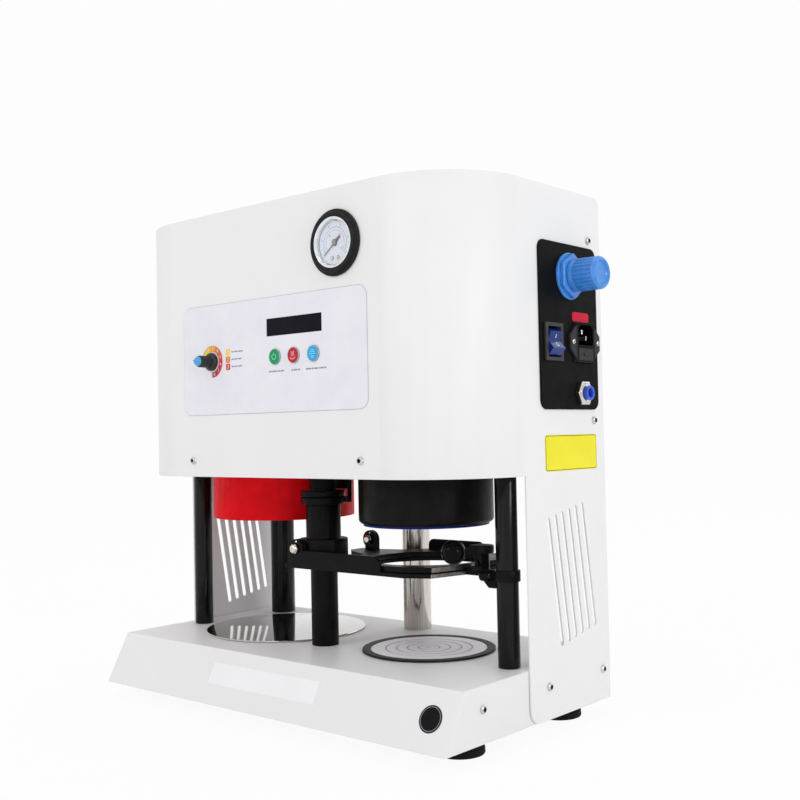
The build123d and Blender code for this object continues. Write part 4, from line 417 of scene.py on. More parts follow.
def loft(name, centre, axis, stations, sides=64, closed=False, turn=0.0, flutes=0.0):
    """A circle run through stations, each (radius, height) in mm: closed into a ring, or capped."""
    clear_selection()
    if closed:
        stations = [*stations, stations[0]]
    radius, height = stations[0]
    start = centre + axis * height * MM
    turned = facing(axis, turn).to_euler()
    bpy.ops.mesh.primitive_circle_add(
        vertices=sides, radius=radius * MM, location=start, rotation=turned
    )
    piece = started(name)
    bpy.ops.object.mode_set(mode="EDIT")
    if flutes:
        pick(piece, lambda vertex: vertex.index % 4 > 1, "verts")
        bpy.ops.transform.resize(value=(1 - flutes / radius,) * 3, center_override=start)
    bpy.ops.mesh.select_all(action="SELECT")
    for before, after in zip(stations, stations[1:]):
        shift = axis * (after[1] - before[1]) * MM
        bpy.ops.mesh.extrude_edges_move(TRANSFORM_OT_translate={"value": shift})
        at = centre + axis * after[1] * MM
        bpy.ops.transform.resize(value=(after[0] / before[0],) * 3, center_override=at)
    bpy.ops.mesh.select_all(action="SELECT")
    if closed:
        bpy.ops.mesh.remove_doubles(threshold=MM / 1000)
    else:
        bpy.ops.mesh.fill_holes(sides=0)
    close_edit()
    return piece


def close_edit():
    """Points a new mesh's faces outwards and leaves its edit mode."""
    bpy.ops.mesh.select_all(action="SELECT")
    bpy.ops.mesh.normals_make_consistent(inside=False)
    bpy.ops.object.mode_set(mode="OBJECT")


def bar(name, centre, size, turned=None):
    """A box of a size in mm about a point, turned if asked."""
    clear_selection()
    angles = turned.to_euler() if turned else (0, 0, 0)
    bpy.ops.mesh.primitive_cube_add(size=1, location=centre, rotation=angles)
    bpy.context.object.scale = [length * MM for length in size]
    return started(name)


def joined(name, pieces):
    """Several meshes as one piece."""
    activate(pieces[0])
    for piece in pieces[1:]:
        piece.select_set(True)
    bpy.ops.object.join()
    bpy.context.object.name = name
    return bpy.context.object


def lettering(name, words, height_mm, place, right, up, thickness_mm=0.08):
    """Generic marks as a thin raised mesh, centred on a place."""
    clear_selection()
    bpy.ops.object.text_add()
    text = bpy.context.object
    text.name = name
    text.data.body = words
    text.data.size = height_mm * MM / CAPITAL_SHARE
    text.data.align_x, text.data.align_y = "CENTER", "CENTER"
    text.data.extrude = thickness_mm * MM / 2
    text.data.resolution_u = 3
    bpy.ops.object.convert(target="MESH")
    text.matrix_world = Matrix.Translation(place) @ axes(right, up, right.cross(up)).to_4x4()
    return started(name)


def softened(node, bevel_mm, body, material, slot, segments=2):
    """A solid's own shape with its sharp edges broken, as a deburred and coated part has them."""
    clear_selection()
    piece = bpy.data.objects.new(f"{node}_deburred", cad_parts[node].data.copy())
    bpy.context.scene.collection.objects.link(piece)
    activate(piece)
    bpy.ops.object.mode_set(mode="EDIT")
    bpy.ops.mesh.select_all(action="SELECT")
    bpy.ops.mesh.remove_doubles(threshold=MM / 1000)
    bpy.ops.mesh.dissolve_limited(angle_limit=math.radians(0.5))
    bpy.ops.object.mode_set(mode="OBJECT")
    finish_mesh(piece, bevel_mm, segments)
    return seated(piece, body, material, slot, node)


def paint_faces(piece, material, inside):
    """Gives another finish to the faces whose middle lies inside."""
    piece.data.materials.append(material)
    number = len(piece.data.materials) - 1
    for face in piece.data.polygons:
        if inside(face.center, face.normal):
            face.material_index = number


def copies(name, pattern, places):
    """One modelled piece copied to places, each turned from +Z to its axis, joined into one."""
    made = []
    for place, axis in places:
        activate(pattern)
        bpy.ops.object.duplicate()
        copy = bpy.context.object
        copy.rotation_euler = facing(axis).to_euler()
        copy.location = place
        bpy.ops.object.transform_apply(location=True, rotation=True, scale=True)
        made.append(copy)
    activate(pattern)
    bpy.ops.object.delete()
    return joined(name, made)


def cut(piece, tool):
    """Takes a tool's shape out of a piece."""
    activate(piece)
    boolean = piece.modifiers.new("cut", "BOOLEAN")
    boolean.operation = "DIFFERENCE"
    boolean.object = tool
    boolean.solver = "EXACT"
    bpy.ops.object.modifier_apply(modifier=boolean.name)
    activate(tool)
    bpy.ops.object.delete()
    return piece


def on_front(x, z, proud_mm=0.0):
    """A place in front of the label, from a place on the front in mm."""
    return Vector((x * MM, LABEL_FACE - proud_mm * MM, z * MM))


def arc_band(name, centre, radii, clock, thickness_mm=0.1, steps=10):
    """A flat band on the front along part of a circle, clockwise from the top in degrees."""
    clear_selection()
    first, last = (math.radians(angle) for angle in clock)
    across = clockwise(clock[0])
    inner, outer = radii
    turned = axes(across, FRONTWARDS, across.cross(FRONTWARDS)).to_euler()
    place = centre + across * (inner + outer) / 2 * MM
    bpy.ops.mesh.primitive_plane_add(size=1, location=place, rotation=turned)
    bpy.context.object.scale = ((outer - inner) * MM, thickness_mm * MM, 1)
    piece = started(name)
    bpy.ops.object.mode_set(mode="EDIT")
    bpy.ops.mesh.select_all(action="SELECT")
    bpy.ops.mesh.spin(steps=steps, angle=first - last, center=centre, axis=Y_AXIS)
    bpy.ops.mesh.select_all(action="SELECT")
    bpy.ops.mesh.fill_holes(sides=0)
    close_edit()
    return piece


def film(name, centre, width_mm, height_mm, facing_axis, up, corner_mm=1.5, thickness_mm=0.15):
    """A thin printed plate with rounded corners, lying on a face."""
    clear_selection()
    turned = axes(up.cross(facing_axis), up, facing_axis).to_euler()
    bpy.ops.mesh.primitive_plane_add(size=1, location=centre, rotation=turned)
    bpy.context.object.scale = (width_mm * MM, height_mm * MM, 1)
    piece = started(name)
    bpy.ops.object.mode_set(mode="EDIT")
    bpy.ops.mesh.select_all(action="SELECT")
    bpy.ops.mesh.bevel(offset=corner_mm * MM, segments=6, affect="VERTICES")
    bpy.ops.mesh.select_all(action="SELECT")
    shift = facing_axis * thickness_mm * MM
    bpy.ops.mesh.extrude_region_move(TRANSFORM_OT_translate={"value": shift})
    close_edit()
    return piece


def bevelled_bar(name, centre, size, bevel_mm, turned=None, segments=2):
    """A box of a size in mm with its edges broken."""
    return finish_mesh(bar(name, centre, size, turned), bevel_mm, segments)


def slotted_screw(name, profile, slot_height, slot_size, slot_degrees=0, sides=32):
    """A screw head at the origin, facing up, with a straight slot."""
    screw = loft(name, ORIGIN, Z_AXIS, profile, sides=sides)
    turned = Quaternion(Z_AXIS, math.radians(slot_degrees))
    cut(screw, bar(f"{name}_slot", Vector((0, 0, slot_height * MM)), slot_size, turned))
    return finish_mesh(screw)


# ---------------------------------------------------------------- sheet metal screws, feet and disc
# Here and below, sizes and places are in mm, and a profile lists (radius, height) from its seat
SCREW_PROFILE = [
    (1.95, -7.8), (1.95, 0), (3.4, 0), (3.5, 0.25), (3.45, 0.7), (3.1, 1.35), (2.5, 1.85),
    (1.9, 2.15),
]
SOCKET_R = 1.45
SOCKET_PROFILE = [(SOCKET_R, 0.9), (SOCKET_R, 3.0)]
SIDE_SCREWS = ((94.3, 408.7), (97.8, 253.2), (18.8, 38.8), (102.0, 38.8))  # y, z
BASE_SCREW = (-68.4, 38.3)
BASE_INSET = 2.1  # how far the base's sides stand inside the housing's
FRONT_SCREW_XS = (-119.4, 91.3)
FRONT_SCREW_Z = 223.9
HEAD_H = 2.2  # a screw's head over its seat
FOOT_PROFILE = [
    (3.2, 3.4), (6.4, 3.4), (7.4, 3.0), (7.8, 0.5), (8.4, 0.0), (18.4, 0.0), (19.3, 0.35),
    (19.9, 1.3), (19.6, 5.5), (19.0, 6.2), (19.2, 6.9), (19.5, 11.3), (19.0, 12.0),
]
FOOT_SCREW_PROFILE = [(5.2, 3.2), (5.2, 2.9), (4.6, 2.2), (3.4, 1.7), (1.8, 1.55)]
FOOT_R = 20.0
DISC_PROFILE = [(76.9, 0.0), (77.7, 0.2), (78.0, 0.6), (78.0, 1.2), (77.6, 1.65), (76.8, 1.8)]


def build_housing_screws():
    """Button-head screws with hexagon sockets, alike on both sides and on the front."""
    head = loft("housing_screw", ORIGIN, Z_AXIS, SCREW_PROFILE, sides=32)
    cut(head, loft("socket", ORIGIN, Z_AXIS, SOCKET_PROFILE, sides=6))
    coated(finish_mesh(head), SCREW_STEEL)
    # The socket's faces are painted dark: painted shade in the socket
    paint_faces(head, SOCKET_PAINTED_SHADE, lambda at, _: at.xy.length < SOCKET_R * MM and at.z > 0)
    near, far = low("housing_screws"), high("housing_screws")
    rows = [(y, z, 0.0) for y, z in SIDE_SCREWS] + [(*BASE_SCREW, BASE_INSET)]
    places = []
    for y, z, inset in rows:
        right_x = far.x - HEAD_H * MM - inset * MM
        left_x = near.x + HEAD_H * MM + inset * MM
        places.append((Vector((right_x, y * MM, z * MM)), X_AXIS))
        places.append((Vector((left_x, y * MM, z * MM)), -X_AXIS))
    for x in FRONT_SCREW_XS:
        places.append((Vector((x * MM, near.y + HEAD_H * MM, FRONT_SCREW_Z * MM)), FRONTWARDS))
    screws = copies("housing_screw_heads", head, places)
    seated(screws, "chassis", None, "zinc_plated_steel", "housing_screws")


def build_rubber_feet():
    """Four moulded feet with a hollow underside that hides the fixing screw."""
    foot = coated(finish_mesh(loft("foot", ORIGIN, Z_AXIS, FOOT_PROFILE, sides=72)), FOOT_RUBBER)
    screw = slotted_screw("foot_screw", FOOT_SCREW_PROFILE, 1.5, (1.2, 8.4, 1.6))
    pattern = joined("foot_with_screw", [foot, coated(screw, SCREW_STEEL)])
    near, far, radius = low("rubber_feet"), high("rubber_feet"), FOOT_R * MM
    xs, ys = (near.x + radius, far.x - radius), (near.y + radius, far.y - radius)
    feet = copies("moulded_feet", pattern, [(Vector((x, y, 0)), Z_AXIS) for x in xs for y in ys])
    seated(feet, "chassis", None, "black_rubber", "rubber_feet")


def build_reflector_disc():
    """Polished disc with a rolled edge."""
    base = middle("reflector_disc")
    base.z = low("reflector_disc").z
    disc = finish_mesh(loft("polished_disc", base, Z_AXIS, DISC_PROFILE, sides=160))
    seated(disc, "chassis", MIRROR_STEEL, "mirror_stainless", "reflector_disc")


# ---------------------------------------------------------------- hinge bolts and ball knob
NUT_PROFILE = [(4.2, 0.0), (4.8, 0.35), (4.8, 2.3), (4.2, 2.7)]
DOME_PROFILE = [(3.9, 2.6), (3.85, 3.1), (3.5, 3.8), (2.6, 4.25), (1.2, 4.5)]
BOLT_HEAD_PROFILE = [(4.7, 0.0), (5.0, 0.3), (4.9, 1.3), (4.2, 2.2), (3.0, 2.75), (2.2, 2.8)]
BOLT_HEAD_H = 2.8
BOLT_SOCKET_PROFILE = [(2.0, 0), (2.0, 3)]
BOLT_SOCKET_RISE = 1.2
HINGE_BOLT_R = 3.0
HINGE_BOLT_END_R = 2.7
NUT_L = 4.5
REAR_NUT_SEAT_Y = 47.7
FRONT_BOLT_REACH, REAR_BOLT_REACH = 5.6, 4.8
LOCK_PIN_PROFILE = [(1.0, -0.3), (1.05, 0.2), (0.85, 0.6), (0.4, 0.8)]
LOCK_PIN_OFFSET = (0.8, 6.3)  # x, z from the bolts' line
LUG_FACES = (-49.5, 48.0)
BALL_CENTRE = Vector((136.6, -30.0, 148.1)) * MM
LEVER_END = Vector((140.6, 3.0, 148.1)) * MM
BALL_R = 10.0
BALL_MOUTH = [(3.4, -8.4), (4.0, -9.3)]


def build_hinge_bolts():
    """Cap nuts on the front of both hinge lugs, and the rear bolt's head."""
    heart = middle("hinge_bolts")
    near, far = low("hinge_bolts"), high("hinge_bolts")
    nut = joined("cap_nut", [
        loft("nut", ORIGIN, Z_AXIS, NUT_PROFILE, sides=6, turn=math.radians(30)),
        loft("dome", ORIGIN, Z_AXIS, DOME_PROFILE, sides=40),
    ])
    finish_mesh(nut, 0.2)
    front_seat = Vector((heart.x, near.y + NUT_L * MM, heart.z))
    rear_seat = Vector((heart.x, REAR_NUT_SEAT_Y * MM, heart.z))
    nuts = copies("cap_nuts", nut, [(front_seat, FRONTWARDS), (rear_seat, FRONTWARDS)])
    head_seat = Vector((heart.x, far.y - BOLT_HEAD_H * MM, heart.z))
    head = loft("hinge_bolt_head", head_seat, Y_AXIS, BOLT_HEAD_PROFILE, sides=40)
    socket_place = head_seat + Y_AXIS * BOLT_SOCKET_RISE * MM
    cut(head, loft("bolt_socket", socket_place, Y_AXIS, BOLT_SOCKET_PROFILE, sides=6))
    shafts = []
    for seat, reach in ((front_seat, FRONT_BOLT_REACH), (rear_seat, REAR_BOLT_REACH)):
        profile = [
            (HINGE_BOLT_END_R, -1.0), (HINGE_BOLT_R, -0.6),
            (HINGE_BOLT_R, reach - 0.3), (HINGE_BOLT_END_R, reach),
        ]
        shafts.append(loft("hinge_shaft", seat, Y_AXIS, profile, sides=32))
    bolts = joined("hinge_bolts_with_nuts", [nuts, finish_mesh(head), *map(finish_mesh, shafts)])
    seated(bolts, "foil_clamp", NICKEL, "nickel", "hinge_bolts")
    pin = finish_mesh(loft("lock_pin", ORIGIN, Z_AXIS, LOCK_PIN_PROFILE, sides=24))
    across, rise = LOCK_PIN_OFFSET
    x, z = heart.x + across * MM, heart.z + rise * MM
    places = [(Vector((x, face_y * MM, z)), FRONTWARDS) for face_y in LUG_FACES]
    seated(copies("lock_pins", pin, places), "carrier", NICKEL, "nickel")


def build_ball_knob():
    """Pressed-on ball of hard plastic with a flat where the lever enters."""
    outwards = (BALL_CENTRE - LEVER_END).normalized()
    turns = [math.radians(angle) for angle in range(26, 176, 6)]
    ball_profile = [(BALL_R * math.sin(t), -BALL_R * math.cos(t)) for t in turns]
    ball = loft("lever_ball", BALL_CENTRE, outwards, BALL_MOUTH + ball_profile, sides=72)
    finish_mesh(ball, smooth_degrees=40)
    seated(ball, "clamp_handle", GLOSS_BLACK, "black_gloss_plastic", "ball_knob")


# ---------------------------------------------------------------- pressure gauge
GAUGE_RING_PROFILE = [
    (21.3, 0.0), (27.2, 0.0), (27.5, 0.4), (27.45, 1.9), (27.0, 2.5), (25.6, 2.7), (25.1, 3.0),
    (24.9, 4.3), (24.3, 4.9), (23.4, 5.0), (22.2, 4.9), (21.4, 4.4),
]
BEZEL_PROFILE = [
    (18.3, 0.9), (19.4, 0.8), (19.6, 0.4), (21.0, 0.3), (21.2, 4.0), (20.9, 4.7), (20.3, 5.0),
    (19.6, 4.95), (18.9, 4.4), (18.4, 3.6),
]
BARREL_PROFILE = [
    (18.2, 0.0), (19.5, 0.6), (19.6, -23.8), (18.8, -25.0), (5.6, -25.0), (5.6, -23.6),
    (18.2, -23.6),
]
STEM_PROFILE = [(5.0, -25.0), (5.6, -24.6), (5.6, -23.6), (5.0, -23.2)]
DIAL_PROFILE = [(17.4, 0.0), (18.0, 0.1), (18.15, 0.5), (18.0, 0.8)]
DIAL_HEIGHT = 0.8
SCALE_START, SCALE_SWEEP = -128.6, 257.2  # degrees clockwise from the top
SCALE_LINE, TICK_HALF = 0.25, 0.16
BLUE_NUMBERS_R, BLUE_TICKS = 15.4, (12.6, 13.9)
RED_NUMBERS_R, RED_TICKS = 8.3, (10.2, 11.2)
DIAL_SCREW_PLACES = ((-3.2, -12.3), (3.2, -12.3))
DIAL_SCREW_PROFILE = [(1.7, -0.2), (1.75, 0.25), (1.5, 0.55), (1.0, 0.65)]
DIAL_SCREW_FACE_R = 1.4
POINTER_TIP, POINTER_TAIL = 15.0, 7.4
POINTER_HEIGHT, POINTER_W, POINTER_THICK = 1.3, 2.3, 0.5
TAIL_SHARE, HEEL_SHARE, TIP_TAPER = 0.95, 0.55, 0.3  # of POINTER_W, along the needle
HUB_PROFILE = [(2.7, 1.1), (2.75, 1.9), (2.3, 2.3), (1.3, 2.45)]
HUB_FACE_R = 2.0


def dial_place(radius_mm, clock, height_mm):
    """A place on the gauge, by radius, angle clockwise from the top and height over the hood."""
    return GAUGE_CENTRE + clockwise(clock) * radius_mm * MM + FRONTWARDS * height_mm * MM


def dial_ticks(name, radii, count, long_every, ink):
    """Scale lines of the gauge with their arc; every few lines one is longer."""
    inner, outer = radii
    centre = dial_place(0, 0, DIAL_HEIGHT)
    ends = (SCALE_START, -SCALE_START)
    pieces = [arc_band(name, centre, (inner, inner + SCALE_LINE), ends, steps=48)]
    for step in range(count + 1):
        clock = SCALE_START + SCALE_SWEEP * step / count
        reach = outer if step % long_every == 0 else (inner + outer) / 2
        half = math.degrees(TICK_HALF / inner)
        pieces.append(arc_band(name, centre, (inner, reach), (clock - half, clock + half), steps=1))
    seated(joined(name, pieces), "chassis", ink, "dial_print")


def dial_numbers(name, numbers, radius_mm, height_mm, ink):
    """Numbers round the gauge's scale."""
    pieces = []
    for step, number in enumerate(numbers):
        clock = SCALE_START + SCALE_SWEEP * step / (len(numbers) - 1)
        place = dial_place(radius_mm, clock, DIAL_HEIGHT + 0.05)
        pieces.append(lettering(name, number, height_mm, place, X_AXIS, Z_AXIS))
    seated(joined(name, pieces), "chassis", ink, "dial_print")


def build_gauge():
    """Pressure gauge: rubber collar, chromed case, printed dial with two screws, and pointer."""
    ring, bezel, barrel = (
        loft(name, GAUGE_CENTRE, FRONTWARDS, profile, sides=sides, closed=True)
        for name, profile, sides in (
            ("gauge_collar", GAUGE_RING_PROFILE, 128),
            ("bezel", BEZEL_PROFILE, 128),
            ("barrel", BARREL_PROFILE, 96),
        )
    )
    seated(finish_mesh(ring, 0.12), "chassis", BLACK_RUBBER, "black_rubber", "gauge_ring")
    stem = loft("stem", GAUGE_CENTRE, FRONTWARDS, STEM_PROFILE, sides=48)
    case = finish_mesh(joined("gauge_bezel_case", [bezel, barrel, stem]), 0.1)
    seated(case, "chassis", CHROME, "nickel", "gauge_case")
    dial = finish_mesh(loft("gauge_dial_plate", GAUGE_CENTRE, FRONTWARDS, DIAL_PROFILE, sides=96))
    seated(dial, "chassis", DIAL_FILM, "dial_print", "gauge_dial")
    dial_ticks("outer_scale", BLUE_TICKS, 50, 5, DIAL_BLUE)
    dial_ticks("inner_scale", RED_TICKS, 30, 10, DIAL_RED)
    dial_numbers("outer_numbers", ("0", "2", "4", "6", "8", "10"), BLUE_NUMBERS_R, 1.9, DIAL_BLUE)
    dial_numbers("inner_numbers", ("0", "40", "80", "120"), RED_NUMBERS_R, 1.5, DIAL_RED)
    screw = slotted_screw("dial_screw", DIAL_SCREW_PROFILE, 0.6, (0.4, 4.0, 0.5), 35, 28)
    coated(screw, SCREW_STEEL)
    # The head's rim, outside DIAL_SCREW_FACE_R, is painted black: painted shade round each screw
    # head
    paint_faces(screw, BLACK_PLASTIC, lambda at, _: at.xy.length > DIAL_SCREW_FACE_R * MM)
    places = [
        (GAUGE_CENTRE + Vector((x * MM, -DIAL_HEIGHT * MM, z * MM)), FRONTWARDS)
        for x, z in DIAL_SCREW_PLACES
    ]
    seated(copies("dial_screws", screw, places), "chassis", None, "zinc_plated_steel")


def build_gauge_pointer():
    """Needle with a slender tip and a broad tail, on a domed hub."""
    turned = Quaternion(Y_AXIS, math.radians(SCALE_START))
    centre = dial_place((POINTER_TIP - POINTER_TAIL) / 2, SCALE_START, POINTER_HEIGHT)
    size = (POINTER_W, POINTER_THICK, POINTER_TIP + POINTER_TAIL)
    needle = bar("needle", centre, size, turned)
    tip_place = dial_place(POINTER_TIP, SCALE_START, POINTER_HEIGHT)
    hub_place = dial_place(0, 0, POINTER_HEIGHT)
    outwards = (tip_place - hub_place).normalized()

    def reach(vertex):
        """How far a vertex lies from the hub along the needle, in mm."""
        return (vertex.co - hub_place).dot(outwards) / MM

    bpy.ops.object.mode_set(mode="EDIT")
    bpy.ops.mesh.subdivide(number_cuts=9)
    mesh = bmesh.from_edit_mesh(needle.data)
    for row in sorted({round(reach(vertex), 2) for vertex in mesh.verts}):
        share = TAIL_SHARE if row < -1 else HEEL_SHARE - TIP_TAPER * max(row, 0) / POINTER_TIP
        pick(needle, lambda vertex: abs(reach(vertex) - row) < 0.05, "verts")
        at = hub_place + outwards * row * MM
        bpy.ops.transform.resize(value=(share,) * 3, center_override=at)
    bpy.ops.object.mode_set(mode="OBJECT")
    coated(finish_mesh(needle, 0.05), BLACK_INK)
    hub = finish_mesh(loft("pointer_hub", GAUGE_CENTRE, FRONTWARDS, HUB_PROFILE, sides=40))
    coated(hub, BLACK_PLASTIC)
    paint_faces(hub, HUB_GREY, lambda at, _: (at - GAUGE_CENTRE).xz.length < HUB_FACE_R * MM)
    seated(joined("needle_with_hub", [needle, hub]), "pointer", None, "dial_print", "gauge_pointer")


# ---------------------------------------------------------------- display, timer and buttons
TIMER_SKIRT = [(7.4, 0.9), (8.1, 1.1), (8.25, 1.7), (8.2, 3.0), (7.6, 4.1), (6.4, 4.9), (5.5, 5.2)]
TIMER_BODY = [(5.5, 4.6), (5.4, 8.0), (5.25, 15.6), (4.9, 16.4), (4.2, 16.5)]
TIMER_CAP = [(4.15, 16.2), (4.2, 17.2), (3.95, 18.4), (3.0, 19.4), (1.5, 19.9)]
TIMER_FLUTE = 0.22
TIMER_MARK_CLOCK = -72
RIDGE_SIZE, RIDGE_OFFSET, RIDGE_HEIGHT = (3.6, 1.9, 1.1), 1.1, 19.6
TIMER_RING_RADII = (9.3, 14.3)
TIMER_RING_CLOCK = (-76, 182)
TIMER_FIELD_GAP = 0.8  # degrees
TIMER_LINE_RADII, TIMER_LINE_END = (14.4, 14.75), 70
TIMER_NUMBER_H, LEGEND_DIGIT_H = 2.9, 3.4
FIELD_PROUD, NUMBER_PROUD, DIGIT_PROUD, DASH_PROUD = 0.05, 0.08, 0.13, 0.04
LABEL_CORNER = 9.0
LABEL_EDGE, LABEL_EDGE_THICK = 0.45, 0.35  # how far the grey line of painted shade shows round the label
LABEL_BORDER = 8.0  # how much smaller the edge's opening is
OPENING_DEPTH = 4.0
DISPLAY_RIM = 6.3
FRAME_SUNK = 0.45  # the display's frame lies this far behind the label's face
WINDOW_DEPTH, WINDOW_BORDER, GLASS_SUNK = 3.0, 0.9, 0.45
BLOCK_SHORTER = 2.4  # the module's block ends this far short of its front
GLASS_FROM = 0.3  # faces deeper than this are the sunk glass
# GLINT_*: a grey strip of painted highlight along the window's left edge
GLINT_W, GLINT_DEPTH = 1.1, 0.3
GLINT_INSET, GLINT_SUNK, GLINT_SHORTER = 1.3, 0.35, 2.2
BUTTON_CAP = [
    (6.7, -8.7), (6.9, -8.2), (6.9, 0.6), (6.8, 0.95), (6.5, 1.3), (6.0, 1.6), (5.2, 1.75),
    (4.2, 1.7), (3.2, 1.62),
]
BUTTON_COLOUR_R = 6.6
BUTTON_BACK = [(6.6, -8.0), (8.3, -8.0), (8.3, -7.0), (6.6, -7.0)]
SIGN_HEIGHT = 1.66
DASH_GAP = 0.8
CAPTION_Z = 300.5
CAPTIONS = (
    (-4.7, (3.4, 4.9, 1.5, 2.0, 3.7)),
    (19.2, (1.9, 4.0, 2.5)),
    (43.5, (6.2, 2.0, 4.4, 1.2, 4.2, 2.0)),
)
LEGEND_ROWS = ((320.8, (3.0, 4.2, 6.4)), (314.2, (2.8, 3.6, 5.4)), (307.7, (3.0, 3.4, 6.0)))
LEGEND_X = -68.0
LEGEND_SQUARE = 5.6
LEGEND_TEXT_SHIFT = 4.8


def dashes(name, left_x, z, widths, height_mm, ink):
    """A row of short printed dashes in place of words."""
    pieces = []
    for width in widths:
        place = on_front(left_x + width / 2, z, DASH_PROUD)
        pieces.append(bevelled_bar(name, place, (width, 0.08, height_mm), 0.03))
        left_x += width + DASH_GAP
    seated(joined(name, pieces), "chassis", ink, "label_film")


def build_display():
    """Dark window in a black frame with a painted highlight strip at its left edge, and the
    module's block behind the label.
    """
    near, far, heart = low("display_module"), high("display_module"), middle("display_module")
    width, height = (far.x - near.x) / MM, (far.z - near.z) / MM
    front = LABEL_FACE + FRAME_SUNK * MM
    window_size = (width - 2 * DISPLAY_RIM, WINDOW_DEPTH, height - 2 * DISPLAY_RIM)
    window_place = Vector((heart.x, front + WINDOW_DEPTH / 2 * MM, heart.z))
    window = bar("display_window", window_place, window_size)
    bpy.ops.object.mode_set(mode="EDIT")
    pick(window, lambda face: face.normal.y < -0.9)
    bpy.ops.mesh.inset(thickness=WINDOW_BORDER * MM)
    shift = (0, GLASS_SUNK * MM, 0)
    bpy.ops.mesh.extrude_region_move(TRANSFORM_OT_translate={"value": shift})
    bpy.ops.object.mode_set(mode="OBJECT")
    coated(finish_mesh(window, 0.1), DISPLAY_BEZEL)
    glass = front + GLASS_FROM * MM

    def on_glass(place, normal):
        """Whether a face is the sunk one behind the window's border."""
        return normal.y < -0.9 and glass < place.y < glass + MM

    paint_faces(window, DISPLAY_DARK, on_glass)
    block_depth = (far.y - near.y) / MM - BLOCK_SHORTER
    block_place = Vector((heart.x, far.y - block_depth / 2 * MM, heart.z))
    block = bevelled_bar("display_block", block_place, (width, block_depth, height), 0.4)
    coated(block, BLACK_PLASTIC)
    # A grey strip down the window's left edge: painted highlight
    left_edge = near.x + (DISPLAY_RIM + GLINT_INSET) * MM
    glint_place = Vector((left_edge, front + GLINT_SUNK * MM, heart.z))
    glint_size = (GLINT_W, GLINT_DEPTH, window_size[2] - GLINT_SHORTER)
    glint = coated(bevelled_bar("display_glint_strip", glint_place, glint_size, 0.05), DISPLAY_PAINTED_GLINT)
    display = joined("display_in_frame", [window, block, glint])
    seated(display, "chassis", None, "display_glass", "display_module")


def build_label_edge():
    """A grey line round the front label: painted shade along the label's edge."""
    near, far = low("control_label"), high("control_label")
    centre = Vector(((near.x + far.x) / 2, far.y, (near.z + far.z) / 2))
    width, height = ((far - near)[axis] / MM + 2 * LABEL_EDGE for axis in (0, 2))
    corner = LABEL_CORNER + LABEL_EDGE
    edge = film("label_edge", centre, width, height, FRONTWARDS, Z_AXIS, corner, LABEL_EDGE_THICK)
    opening = (width - LABEL_BORDER, OPENING_DEPTH, height - LABEL_BORDER)
    cut(edge, bar("label_opening", centre, opening))
    seated(finish_mesh(edge, 0.05), "chassis", LABEL_EDGE_PAINTED_SHADE, "label_film")


def build_timer_knob():
    """Skirted knob with fine ribs, a blue cap and a pointer ridge."""
    heart = middle("timer_knob")
    centre = Vector((heart.x, HOOD_FACE, heart.z))
    skirt = loft("knob_skirt", centre, FRONTWARDS, TIMER_SKIRT, sides=72)
    body = loft("knob_body", centre, FRONTWARDS, TIMER_BODY, sides=96, flutes=TIMER_FLUTE)
    knob = finish_mesh(joined("knob_black", [skirt, body]), smooth_degrees=38)
    coated(knob, KNOB_BLACK)
    cap = loft("knob_cap", centre, FRONTWARDS, TIMER_CAP, sides=48)
    mark = clockwise(TIMER_MARK_CLOCK)
    turned = axes(mark, FRONTWARDS, mark.cross(FRONTWARDS)).to_quaternion()
    place = centre + mark * RIDGE_OFFSET * MM + FRONTWARDS * RIDGE_HEIGHT * MM
    ridge = bevelled_bar("knob_ridge", place, RIDGE_SIZE, 0.25, turned)
    cap = coated(finish_mesh(joined("knob_cap_with_ridge", [cap, ridge])), CAP_BLUE)
    seated(joined("timer_knob_with_cap", [knob, cap]), "timer", None, "black_plastic", "timer_knob")


def print_timer_ring():
    """Coloured scale round the timer with a number in each field, and its three-line legend."""
    heart = middle("timer_knob")
    centre = on_front(heart.x / MM, heart.z / MM, FIELD_PROUD)
    first, last = TIMER_RING_CLOCK
    width = (last - first) / len(RING_INKS)
    numbers = []
    for count, ink in enumerate(RING_INKS):
        start = first + count * width
        ends = (start, start + width - TIMER_FIELD_GAP)
        field = arc_band(f"timer_field_{count + 1}", centre, TIMER_RING_RADII, ends, steps=8)
        seated(field, "chassis", ink, "label_film")
        place = centre + clockwise(start + width / 2) * sum(TIMER_RING_RADII) / 2 * MM
        place += FRONTWARDS * NUMBER_PROUD * MM
        number = str(count + 1)
        numbers.append(lettering("timer_numbers", number, TIMER_NUMBER_H, place, X_AXIS, Z_AXIS))
    seated(joined("timer_numbers", numbers), "chassis", WHITE_INK, "label_film")
    ends = (first, TIMER_LINE_END)
    outline = arc_band("timer_outline", centre, TIMER_LINE_RADII, ends, steps=24)
    seated(outline, "chassis", GREY_INK, "label_film")
    for row, ((z, widths), ink) in enumerate(zip(LEGEND_ROWS, LEGEND_INKS), 1):
        sizes = (LEGEND_SQUARE, LEGEND_SQUARE, FRONTWARDS, Z_AXIS, 0.8, 0.1)
        square = film(f"legend_square_{row}", on_front(LEGEND_X, z), *sizes)
        seated(square, "chassis", ink, "label_film")
        place = on_front(LEGEND_X, z, DIGIT_PROUD)
        digit = lettering(f"legend_digit_{row}", str(row), LEGEND_DIGIT_H, place, X_AXIS, Z_AXIS)
        seated(digit, "chassis", WHITE_INK, "label_film")
        dashes(f"legend_line_{row}", LEGEND_X + LEGEND_TEXT_SHIFT, z, widths, 1.1, GREY_INK)


def power_icon(centre):
    """Open ring with an upright bar: the usual sign for power."""
    ring = arc_band("icon", centre, (2.1, 2.75), (40, 320), steps=28)
    return [ring, bevelled_bar("icon", centre + Z_AXIS * 2.2 * MM, (0.65, 0.1, 2.6), 0.03)]


